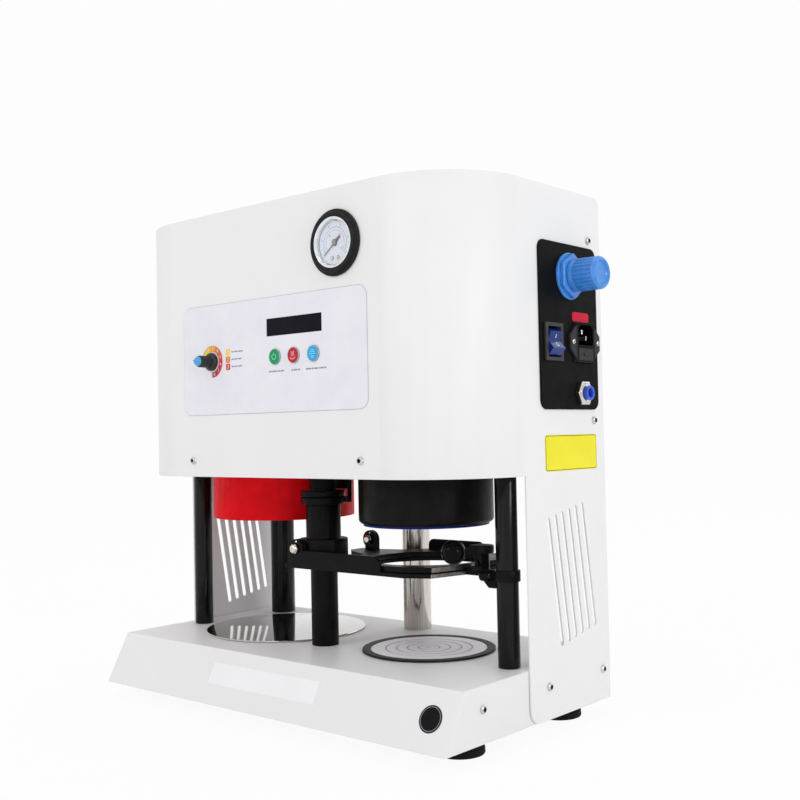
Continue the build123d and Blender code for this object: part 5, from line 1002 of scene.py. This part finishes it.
def heat_icon(centre):
    """Three rising strokes over a bowl."""
    strokes = [
        bevelled_bar("icon", centre + Vector((x * MM, 0, 1.2 * MM)), (0.75, 0.1, 4.2), 0.03)
        for x in (-1.5, 0, 1.5)
    ]
    bowl = arc_band("icon", centre + Z_AXIS * 0.6 * MM, (3.4, 4.3), (125, 235), steps=16)
    return [*strokes, bowl]


def press_icon(centre):
    """A plate between two bars: pressing down and holding."""
    rows = ((3.0, 3.6), (1.5, 5.4), (-0.2, 7.2), (-2.2, 3.4), (-3.3, 3.4))
    return [
        bevelled_bar("icon", centre + Z_AXIS * z * MM, (width, 0.1, 0.6), 0.03)
        for z, width in rows
    ]


def build_buttons():
    """Domed caps with pale signs, each with a thin bright rim."""
    rows = (
        ("green_button", "start_button", GREEN_KEY, "green_plastic", GREEN_ICON, power_icon),
        ("red_button", "stop_button", RED_KEY, "red_plastic", RED_ICON, heat_icon),
        ("blue_button", "option_button", BLUE_KEY, "light_blue_plastic", BLUE_ICON, press_icon),
    )
    for node, body, plastic, slot, icon_ink, draw in rows:
        heart = middle(node)
        centre = Vector((heart.x, LABEL_FACE, heart.z))
        cap = loft(f"{node}_cap", centre, FRONTWARDS, BUTTON_CAP, sides=64)
        back = loft(f"{node}_back", centre, FRONTWARDS, BUTTON_BACK, sides=48)
        cap = finish_mesh(joined(f"{node}_cap", [cap, back]), 0.1)
        seated(cap, body, plastic, slot, node)
        paint_faces(cap, RIM_GREY, lambda at, _: (at - centre).xz.length > BUTTON_COLOUR_R * MM)
        icon = joined(f"{node}_sign", draw(centre + FRONTWARDS * SIGN_HEIGHT * MM))
        seated(icon, body, icon_ink, slot)
    for number, (middle_x, widths) in enumerate(CAPTIONS, 1):
        left_x = middle_x - (sum(widths) + DASH_GAP * (len(widths) - 1)) / 2
        dashes(f"caption_{number}", left_x, CAPTION_Z, widths, 1.3, GREY_INK)


# ---------------------------------------------------------------- side controls
NUT_FLANGE = [(11.2, 0.0), (18.9, 0.0), (19.7, 0.5), (19.7, 2.0), (19.1, 2.6), (11.2, 2.6)]
NUT_HEX = [(18.4, 2.4), (19.05, 2.9), (19.05, 5.7), (17.9, 6.6), (11.2, 6.6), (11.2, 2.4)]
KNOB_NECK = [
    (11.3, 0.0), (13.2, 0.0), (13.5, 0.4), (13.5, 1.6), (13.2, 3.4), (12.6, 4.8), (11.5, 4.8),
]
KNOB_GRIP = [(12.9, 3.8), (13.9, 4.8), (13.8, 21.4), (13.1, 22.4)]
KNOB_END = [
    (12.6, 21.4), (13.5, 21.9), (13.9, 22.6), (13.8, 23.6), (13.2, 25.0), (12.3, 26.0),
    (11.3, 26.3), (10.6, 26.1), (10.0, 25.5), (9.4, 24.6), (8.4, 23.9), (6.0, 23.5), (3.0, 23.4),
]
KNOB_FLUTE = 0.95
HEX_NUT = [
    (10.2, 0.0), (11.2, 0.5), (11.2, 4.1), (10.3, 4.7), (6.9, 4.7), (6.6, 4.4), (6.6, 0.0),
]
FITTING_FACE = [(6.0, 4.0), (8.6, 4.5), (8.2, 5.3), (7.4, 5.6), (6.7, 5.5), (5.4, 5.3)]
FITTING_BODY = [(5.4, -15.4), (6.8, -15.4), (6.8, 0.4), (6.6, 4.4), (5.4, 4.4)]
COLLAR = [
    (4.1, -4.9), (5.2, -4.9), (5.2, 7.2), (5.8, 7.4), (6.3, 7.7), (6.3, 8.5), (6.0, 8.95),
    (5.3, 9.1), (4.6, 8.95), (4.15, 8.4),
]
COLLET = [(4.6, -4.0), (4.6, -2.0), (3.0, -2.6)]
HEX_TURN = math.radians(30)
PANEL_THICK = 1.5
INLET_FLANGE = 2.5
INLET_SCREW_SPACING = 38.6
SOCKET_SIZE = (23.0, 17.5)
SOCKET_RAISE = 6.2
SOCKET_PINS = ((-7.0, -2.0), (7.0, -2.0), (0.0, 3.0))
PIN_SIZE = (13.2, 2.1, 4.1)
PIN_MIDDLE_DEPTH = 10.8
SOCKET_DEPTH, SOCKET_LIP = 17.2, 0.3
INLET_SCREW_PROFILE = [(2.2, -0.2), (2.25, 0.2), (2.1, 0.7), (1.6, 1.15), (0.9, 1.35)]
ROCKER_TILT = -10.0
ROCKER_TIP, ROCKER_WAIST, ROCKER_KEY_H = 7.4, 3.6, 7.0
ROCKER_PIVOT = (-0.5, 34.0, 318.0)  # x from the housing's side; y and z
OFF_SIGN = [(1.35, 0.0), (1.95, 0.0), (1.95, 0.12), (1.35, 0.12)]
RED_TAG = (64.0, 90.0, 336.8, 344.8)  # y, y, z, z
YELLOW_PLATE = (20.5, 100.5, 211.4, 241.4)  # y, y, z, z
# Each layer of the yellow plate: finish, what is taken off its size, corner, thickness, soft edge
YELLOW_LAYERS = (
    (YELLOW_FILM, 0.0, 2.8, 0.18, 0.04),
    (BLACK_INK, 1.3, 2.3, 0.24, 0.02),
    (YELLOW_FILM, 2.3, 1.9, 0.3, 0.02),
)


def build_regulator():
    """Flanged hexagon nut and fluted knob of the pressure regulator."""
    heart = middle("regulator_nut")
    centre = Vector((low("regulator_nut").x, heart.y, heart.z))
    flange = loft("nut_flange", centre, X_AXIS, NUT_FLANGE, sides=96, closed=True)
    hexagon = loft("nut_hexagon", centre, X_AXIS, NUT_HEX, sides=6, closed=True, turn=HEX_TURN)
    nut = joined("flanged_nut", [finish_mesh(flange, 0.12), finish_mesh(hexagon, 0.3)])
    seated(nut, "chassis", REGULATOR_BLUE, "regulator_blue", "regulator_nut")
    heel = Vector((low("regulator_knob").x, heart.y, heart.z))
    neck = loft("knob_neck", heel, X_AXIS, KNOB_NECK, sides=96, closed=True)
    grip = loft("knob_grip", heel, X_AXIS, KNOB_GRIP, sides=96, flutes=KNOB_FLUTE)
    end = loft("knob_end", heel, X_AXIS, KNOB_END, sides=96)
    pieces = [finish_mesh(neck, 0.15), finish_mesh(grip, 0.12, 2, 40), finish_mesh(end, 0.1)]
    knob = joined("fluted_knob", pieces)
    seated(knob, "pressure_knob", REGULATOR_BLUE, "regulator_blue", "regulator_knob")


def rocker_half(sign):
    """The middle of the level rocker's upper or lower face, with its upward and outward ways."""
    slope = math.atan2(ROCKER_TIP - ROCKER_WAIST, ROCKER_KEY_H)
    up = Vector((math.sin(slope) * sign, 0, math.cos(slope)))
    out = Vector((math.cos(slope), 0, -math.sin(slope) * sign))
    x, z = (ROCKER_TIP + ROCKER_WAIST) / 2 * MM, sign * ROCKER_KEY_H / 2 * MM
    return Vector((x, 0, z)) + out * 0.06 * MM, up, out


def build_rocker():
    """Glossy two-way rocker with its two plain signs."""
    softened("rocker_button", 0.3, "mains_rocker", ROCKER_BLUE, "rocker_blue", 3)
    place, up, out = rocker_half(1)
    turned = axes(Y_AXIS, up, out).to_quaternion()
    bar_sign = bevelled_bar("rocker_on", place, (0.8, 3.2, 0.12), 0.04, turned)
    place, up, out = rocker_half(-1)
    ring_sign = finish_mesh(loft("rocker_off", place, out, OFF_SIGN, sides=36, closed=True))
    signs = joined("rocker_signs", [bar_sign, ring_sign])
    activate(signs)
    signs.rotation_euler = Quaternion(Y_AXIS, math.radians(ROCKER_TILT)).to_euler()
    proud, y, z = (length * MM for length in ROCKER_PIVOT)
    signs.location = Vector((SIDE_FACE + proud, y, z))
    bpy.ops.object.transform_apply(location=True, rotation=True, scale=True)
    seated(signs, "mains_rocker", WHITE_INK, "dial_print")


def build_inlet():
    """Appliance inlet with three bright contact pins and fixing screws in its ears."""
    centre = middle("mains_inlet")
    inlet = softened("mains_inlet", 0.3, "chassis", INLET_PLASTIC, "black_plastic")
    mouth = high("mains_inlet").x
    # The socket's mouth is painted deep black: painted shade inside the socket
    paint_faces(inlet, BLACK_AND_SOCKET_SHADE, lambda place, _: inside_socket(place, centre, mouth))
    pins = []
    for y, z in SOCKET_PINS:
        z_place = centre.z + (z + SOCKET_RAISE) * MM
        place = Vector((mouth - PIN_MIDDLE_DEPTH * MM, centre.y + y * MM, z_place))
        pins.append(bevelled_bar("contact_pin", place, PIN_SIZE, 0.35))
    seated(joined("contact_pins", pins), "chassis", PIN_METAL, "nickel")
    screw = slotted_screw("inlet_screw", INLET_SCREW_PROFILE, 1.2, (0.6, 8, 0.8), 40)
    face = SIDE_FACE + (PANEL_THICK + INLET_FLANGE) * MM
    half = INLET_SCREW_SPACING / 2
    places = [(Vector((face, centre.y + side * half * MM, centre.z)), X_AXIS) for side in (-1, 1)]
    screws = copies("inlet_screws", screw, places)
    seated(screws, "chassis", SCREW_STEEL, "zinc_plated_steel")


def inside_socket(place, centre, mouth):
    """Whether a place is in the socket's mouth."""
    half_w, half_h = (length / 2 * MM + 0.1 * MM for length in SOCKET_SIZE)
    deep = mouth - SOCKET_DEPTH * MM < place.x < mouth - SOCKET_LIP * MM
    rise = place.z - centre.z - SOCKET_RAISE * MM
    return deep and abs(place.y - centre.y) < half_w and abs(rise) < half_h


def build_air_fitting():
    """Nickel-plated push-in fitting with a blue release collar."""
    heart = middle("air_fitting")
    centre = Vector((SIDE_FACE + PANEL_THICK * MM, heart.y, heart.z))
    rings = [
        finish_mesh(loft(name, centre, X_AXIS, profile, sides=sides, closed=True), bevel_mm)
        for name, profile, sides, bevel_mm in (
            ("fitting_hexagon", HEX_NUT, 6, 0.25),
            ("fitting_face", FITTING_FACE, 64, 0.0),
            ("fitting_body", FITTING_BODY, 64, 0.0),
        )
    ]
    seated(joined("nickel_fitting", rings), "chassis", NICKEL, "nickel", "air_fitting")
    collar = finish_mesh(loft("release_ring", centre, X_AXIS, COLLAR, sides=72, closed=True))
    collet = finish_mesh(loft("collet", centre, X_AXIS, COLLET, sides=48))
    coated(collar, FITTING_BLUE)
    coated(collet, BLACK_AND_SOCKET_SHADE)
    with_collet = joined("collar_with_collet", [collar, collet])
    seated(with_collet, "release_collar", None, "fitting_blue", "fitting_collar")


def side_plate(name, area, face_x, corner_mm, thickness_mm, smaller_mm=0.0):
    """A bare plate with rounded corners on the right side, over an area or somewhat smaller."""
    y_low, y_high, z_low, z_high = area
    centre = Vector((face_x, (y_low + y_high) / 2 * MM, (z_low + z_high) / 2 * MM))
    width, height = y_high - y_low - smaller_mm, z_high - z_low - smaller_mm
    return film(name, centre, width, height, X_AXIS, Z_AXIS, corner_mm, thickness_mm)


def build_side_plates():
    """Bare plates stuck to the right side: a red one over the inlet and a yellow one below."""
    tag = finish_mesh(side_plate("red_tag", RED_TAG, high("side_panel").x, 2.4, 0.2), 0.05)
    seated(tag, "chassis", RED_FILM, "label_film")
    layers = []
    for finish, smaller, corner, thickness, edge in YELLOW_LAYERS:
        layer = side_plate("yellow_layer", YELLOW_PLATE, SIDE_FACE, corner, thickness, smaller)
        layers.append(coated(finish_mesh(layer, edge), finish))
    seated(joined("yellow_plate_in_frame", layers), "chassis", None, "label_film")


# ---------------------------------------------------------------- bare plates on the base's slope
SLOPE_FOOT = Vector((0, -114.2, 12.0))
SLOPE_HEAD = Vector((0, -90.9, 55.6))
WHITE_PLATE = (-84.0, 48.0, 18.0, 37.0)  # x, x and two places up the slope
ROUND_PLATE = (168.8, 25.6, 10.4)  # x, place up the slope and radius
ROUND_FACE = ((-0.2, 0.0), (0.0, 0.1), (0.0, 0.3), (-0.6, 0.4))  # radius less the plate's, height
ROUND_LINE_INSET = (1.6, 1.1)
ROUND_LINE_HEIGHTS = (0.38, 0.46)


def on_slope(x, rise):
    """A place on the slope, its upward direction and its outward direction."""
    up = (SLOPE_HEAD - SLOPE_FOOT).normalized()
    out = up.cross(X_AXIS).normalized()
    out = -out if out.y > 0 else out
    return (SLOPE_FOOT + up * rise + X_AXIS * x) * MM, up, out


def build_slope_plates():
    """A bare white plate and a bare round black plate with a thin grey line round it."""
    x_low, x_high, rise_low, rise_high = WHITE_PLATE
    place, up, out = on_slope((x_low + x_high) / 2, (rise_low + rise_high) / 2)
    plate = film("white_plate", place, x_high - x_low, rise_high - rise_low, out, up, 0.6, 0.2)
    seated(finish_mesh(plate, 0.05), "chassis", PLATE_FILM, "label_film")
    x, rise, radius = ROUND_PLATE
    place, up, out = on_slope(x, rise)
    face = [(radius + change, height) for change, height in ROUND_FACE]
    disc = coated(finish_mesh(loft("round_plate", place, out, face, sides=96)), BLACK_FILM)
    inner, outer = (radius - inset for inset in ROUND_LINE_INSET)
    base, top = ROUND_LINE_HEIGHTS
    line = [(inner, base), (outer, base), (outer - 0.05, top), (inner + 0.05, top)]
    ring = finish_mesh(loft("round_plate_ring", place, out, line, sides=96, closed=True))
    round_plate = joined("round_plate_with_ring", [disc, coated(ring, GREY_INK)])
    seated(round_plate, "chassis", None, "label_film")


# ---------------------------------------------------------------- carried-over solids
PLATE_TOP = high("forming_plate").z
GROOVED_R = 45.0
GROOVE_TOP, GROOVE_BOTTOM = 0.1, 1.5  # depths under the plate's face
MILLED_NORMAL = Vector((0.971, -0.235, 0.0))
MILLED_FROM_X, MILLED_TO_Y = 118.0 * MM, 9.0 * MM
ALONG = 0.97  # cosine over which a face counts as facing along a direction


def dress_solids():
    """Finishes for the solids whose own shape is right."""
    finishes = {
        ZINC_STEEL: "base_plate cylinder_bridge clamp_stud ball_catch",
        DULL_ALUMINIUM: "vacuum_manifold air_cylinder pressure_regulator valve_block",
        RISER_STEEL: "piston_rod",
        LINING: "heater_insulation",
        SCALED_ALLOY: "heater_element",
        BLUE_SEAL: "chamber_seal",
        GREEN_BOARD: "control_board",
        BLACK_PLASTIC: "timer_potentiometer",
        WINDOW_GLASS: "gauge_glass",
    }
    for material, names in finishes.items():
        for name in names.split():
            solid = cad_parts[name]
            solid.data.materials.clear()
            solid.data.materials.append(material)


def soften_solids():
    """Folded, turned and machined parts whose edges are broken and coated."""
    rows = [
        ("outer_shell", 0.45, "chassis", WHITE_COAT, "white_powder_coat"),
        ("top_cover", 0.45, "chassis", WHITE_COAT, "white_powder_coat"),
        # The base cover takes the darker copy: painted shade
        ("base_cover", 0.6, "chassis", BASE_COAT_PAINTED_SHADE, "white_powder_coat"),
        ("rear_panel", 0.35, "chassis", WHITE_COAT, "white_powder_coat"),
        # The housing floor takes the darker copy: painted shade
        ("housing_floor", 0.35, "chassis", INSIDE_COAT_PAINTED_SHADE, "white_powder_coat"),
        ("front_posts", 0.8, "chassis", BLACK_GLOSS_PAINT, "black_painted_steel"),
        ("rear_post", 0.8, "chassis", BLACK_GLOSS_PAINT, "black_painted_steel"),
        ("pivot_column", 0.6, "chassis", BLACK_PAINT, "black_painted_steel"),
        ("steel_riser_tube", 0.3, "chassis", RISER_STEEL, "brushed_stainless"),
        ("forming_plate", 0.2, "chassis", PLATE_METAL, "machined_aluminium"),
        ("forming_gasket", 0.4, "chassis", BLACK_RUBBER, "black_rubber"),
        ("heater_housing", 0.5, "chassis", RED_ENAMEL, "red_enamel"),
        ("pressure_chamber", 0.5, "chamber", CHAMBER_BLACK, "black_anodised_aluminium"),
        ("carrier_bushing", 0.5, "carrier_slide", BLACK_PAINT, "black_painted_steel"),
        ("carrier_sleeve", 0.6, "carrier", BLACK_PAINT, "black_painted_steel"),
        ("trigger_cam", 0.4, "carrier", BLACK_PAINT, "black_painted_steel"),
        ("lower_frame", 0.35, "carrier", BLACK_PAINT, "black_painted_steel"),
        ("clamp_ring", 0.4, "foil_clamp", BLACK_PAINT, "black_painted_steel"),
        ("clamp_lever", 0.5, "clamp_handle", BLACK_PLASTIC, "black_plastic"),
        ("stop_collar", 0.4, "chassis", BLACK_PAINT, "black_painted_steel"),
        ("position_switch", 0.3, "chassis", BLACK_PLASTIC, "black_plastic"),
        ("control_label", 0.12, "chassis", LABEL_FILM, "label_film"),
        ("side_panel", 0.3, "chassis", PANEL_BLACK, "black_painted_steel"),
        ("rocker_frame", 0.35, "chassis", GREY_PLASTIC, "black_plastic"),
        ("fuse_drawer", 0.3, "fuse_holder", INLET_PLASTIC, "black_plastic"),
    ]
    for node, bevel_mm, body, material, slot in rows:
        piece = softened(node, bevel_mm, body, material, slot)
        if node in ("lower_frame", "clamp_ring"):
            paint_faces(piece, BARE_EDGE, on_milled_edge)
        elif node == "forming_plate":
            # The groove faces take the darker copy: painted shade in the grooves
            paint_faces(piece, GROOVE_PAINTED_SHADE_METAL, in_groove)


def in_groove(place, _):
    """Whether a face is in one of the plate's suction grooves."""
    sunk = PLATE_TOP - GROOVE_BOTTOM * MM < place.z < PLATE_TOP - GROOVE_TOP * MM
    return sunk and (place - FORM_CENTRE).xy.length < GROOVED_R * MM


def on_milled_edge(place, normal):
    """Whether a face is on the frame's right edge, which is left bare."""
    facing_right = normal.dot(MILLED_NORMAL) > ALONG
    return facing_right and place.x > MILLED_FROM_X and place.y < MILLED_TO_Y


# ---------------------------------------------------------------- camera, light and ground
CAMERA_PLACE = Vector((0.68305, -0.72191, 0.24532))  # in metres
CAMERA_TURN = math.radians(40.95)
CAMERA_LIFT = math.radians(1.75)
CAMERA_ROLL = math.radians(-1.16)
LENS_MM = 48.84
SENSOR_MM = 36.0


def place_camera():
    """A camera at the eye's place, to the right of the machine, looking slightly up."""
    turn, lift, roll = CAMERA_TURN, CAMERA_LIFT, CAMERA_ROLL
    flat = math.cos(lift)
    forward = Vector((-math.sin(turn) * flat, math.cos(turn) * flat, math.sin(lift)))
    level = Vector((math.cos(turn), math.sin(turn), 0))
    upright = level.cross(forward)
    right = math.cos(roll) * level + math.sin(roll) * upright
    above = -math.sin(roll) * level + math.cos(roll) * upright
    data = bpy.data.cameras.new("studio_camera")
    data.lens = LENS_MM
    data.sensor_width = SENSOR_MM
    camera = bpy.data.objects.new("studio_camera", data)
    bpy.context.scene.collection.objects.link(camera)
    camera.matrix_world = Matrix.Translation(CAMERA_PLACE) @ axes(right, above, -forward).to_4x4()
    bpy.context.scene.camera = camera


# Softboxes: name, place and aim in metres, width in metres and power in watts
LAMPS = (
    ("front_softbox", (-0.7, -2.2, 1.6), (0, 0, 0.25), 0.5, 6.6),
    ("right_softbox", (2.4, -0.4, 0.8), (0, 0, 0.25), 0.5, 9),
    ("top_softbox", (0.1, -0.2, 2.4), (0, 0, 0.25), 1.3, 3),
    ("low_softbox", (-0.1, -1.9, 0.35), (0, 0, 0.1), 0.6, 0.4),
    ("rear_softbox", (0.3, 2.3, 1.3), (0, 0, 0.1), 0.9, 2.5),
)
SKY_LIGHT = 0.78
BACKDROP_LIGHT = 0.985
FLOOR_GLOW = 0.93


def area_light(name, place, aim, size, power):
    """A square softbox aimed at a point."""
    data = bpy.data.lights.new(name, "AREA")
    data.size = size
    data.energy = power
    light = bpy.data.objects.new(name, data)
    bpy.context.scene.collection.objects.link(light)
    turned = (Vector(aim) - Vector(place)).to_track_quat("-Z", "Y")
    light.matrix_world = Matrix.Translation(place) @ turned.to_matrix().to_4x4()


def seen_rays(tree):
    """One for rays that show the surroundings: from the eye, off gloss or through glass."""
    rays = add_node(tree, "ShaderNodeLightPath").outputs
    eye, gloss, glass = (rays[f"Is {kind} Ray"] for kind in ("Camera", "Glossy", "Transmission"))
    either = add_node(tree, "ShaderNodeMath", {0: eye, 1: gloss}, operation="MAXIMUM").outputs[0]
    return add_node(tree, "ShaderNodeMath", {0: either, 1: glass}, operation="MAXIMUM").outputs[0]


def light_studio():
    """Even daylight from all round with softboxes, before a white backdrop."""
    world = bpy.data.worlds.new("studio")
    bpy.context.scene.world = world
    world.use_nodes = True
    tree = world.node_tree
    shade = tree.nodes["Background"]
    sockets = {"Value": seen_rays(tree), "To Min": SKY_LIGHT, "To Max": BACKDROP_LIGHT}
    strength = add_node(tree, "ShaderNodeMapRange", sockets).outputs[0]
    tree.links.new(strength, shade.inputs["Strength"])
    shade.inputs["Color"].default_value = linear("FFFFFF")
    for lamp in LAMPS:
        area_light(*lamp)


def lay_floor():
    """White seamless ground that keeps a soft trace of the machine's shadow."""
    clear_selection()
    bpy.ops.mesh.primitive_plane_add(size=40)
    floor = started("studio_floor")
    material, tree, shader, place = new_material("white_ground", Roughness=0.9)
    two_tone(tree, shader, grain(tree, place, 400), "F8F8F8", "F5F5F5")
    glow = add_node(tree, "ShaderNodeEmission", {"Color": linear("FFFFFF"), "Strength": 1.0})
    sockets = {0: seen_rays(tree), 1: FLOOR_GLOW}
    share = add_node(tree, "ShaderNodeMath", sockets, operation="MULTIPLY")
    sockets = {0: share.outputs[0], 1: shader.outputs[0], 2: glow.outputs[0]}
    mix = add_node(tree, "ShaderNodeMixShader", sockets)
    tree.links.new(mix.outputs[0], tree.nodes["Material Output"].inputs["Surface"])
    floor.data.materials.append(material)


dress_solids()
soften_solids()
build_housing_screws()
build_rubber_feet()
build_reflector_disc()
build_hinge_bolts()
build_ball_knob()
build_gauge()
build_gauge_pointer()
build_label_edge()
build_display()
build_timer_knob()
print_timer_ring()
build_buttons()
build_regulator()
build_rocker()
build_inlet()
build_air_fitting()
build_side_plates()
build_slope_plates()
place_camera()
light_studio()
lay_floor()
bpy.context.scene.view_settings.view_transform = "Standard"
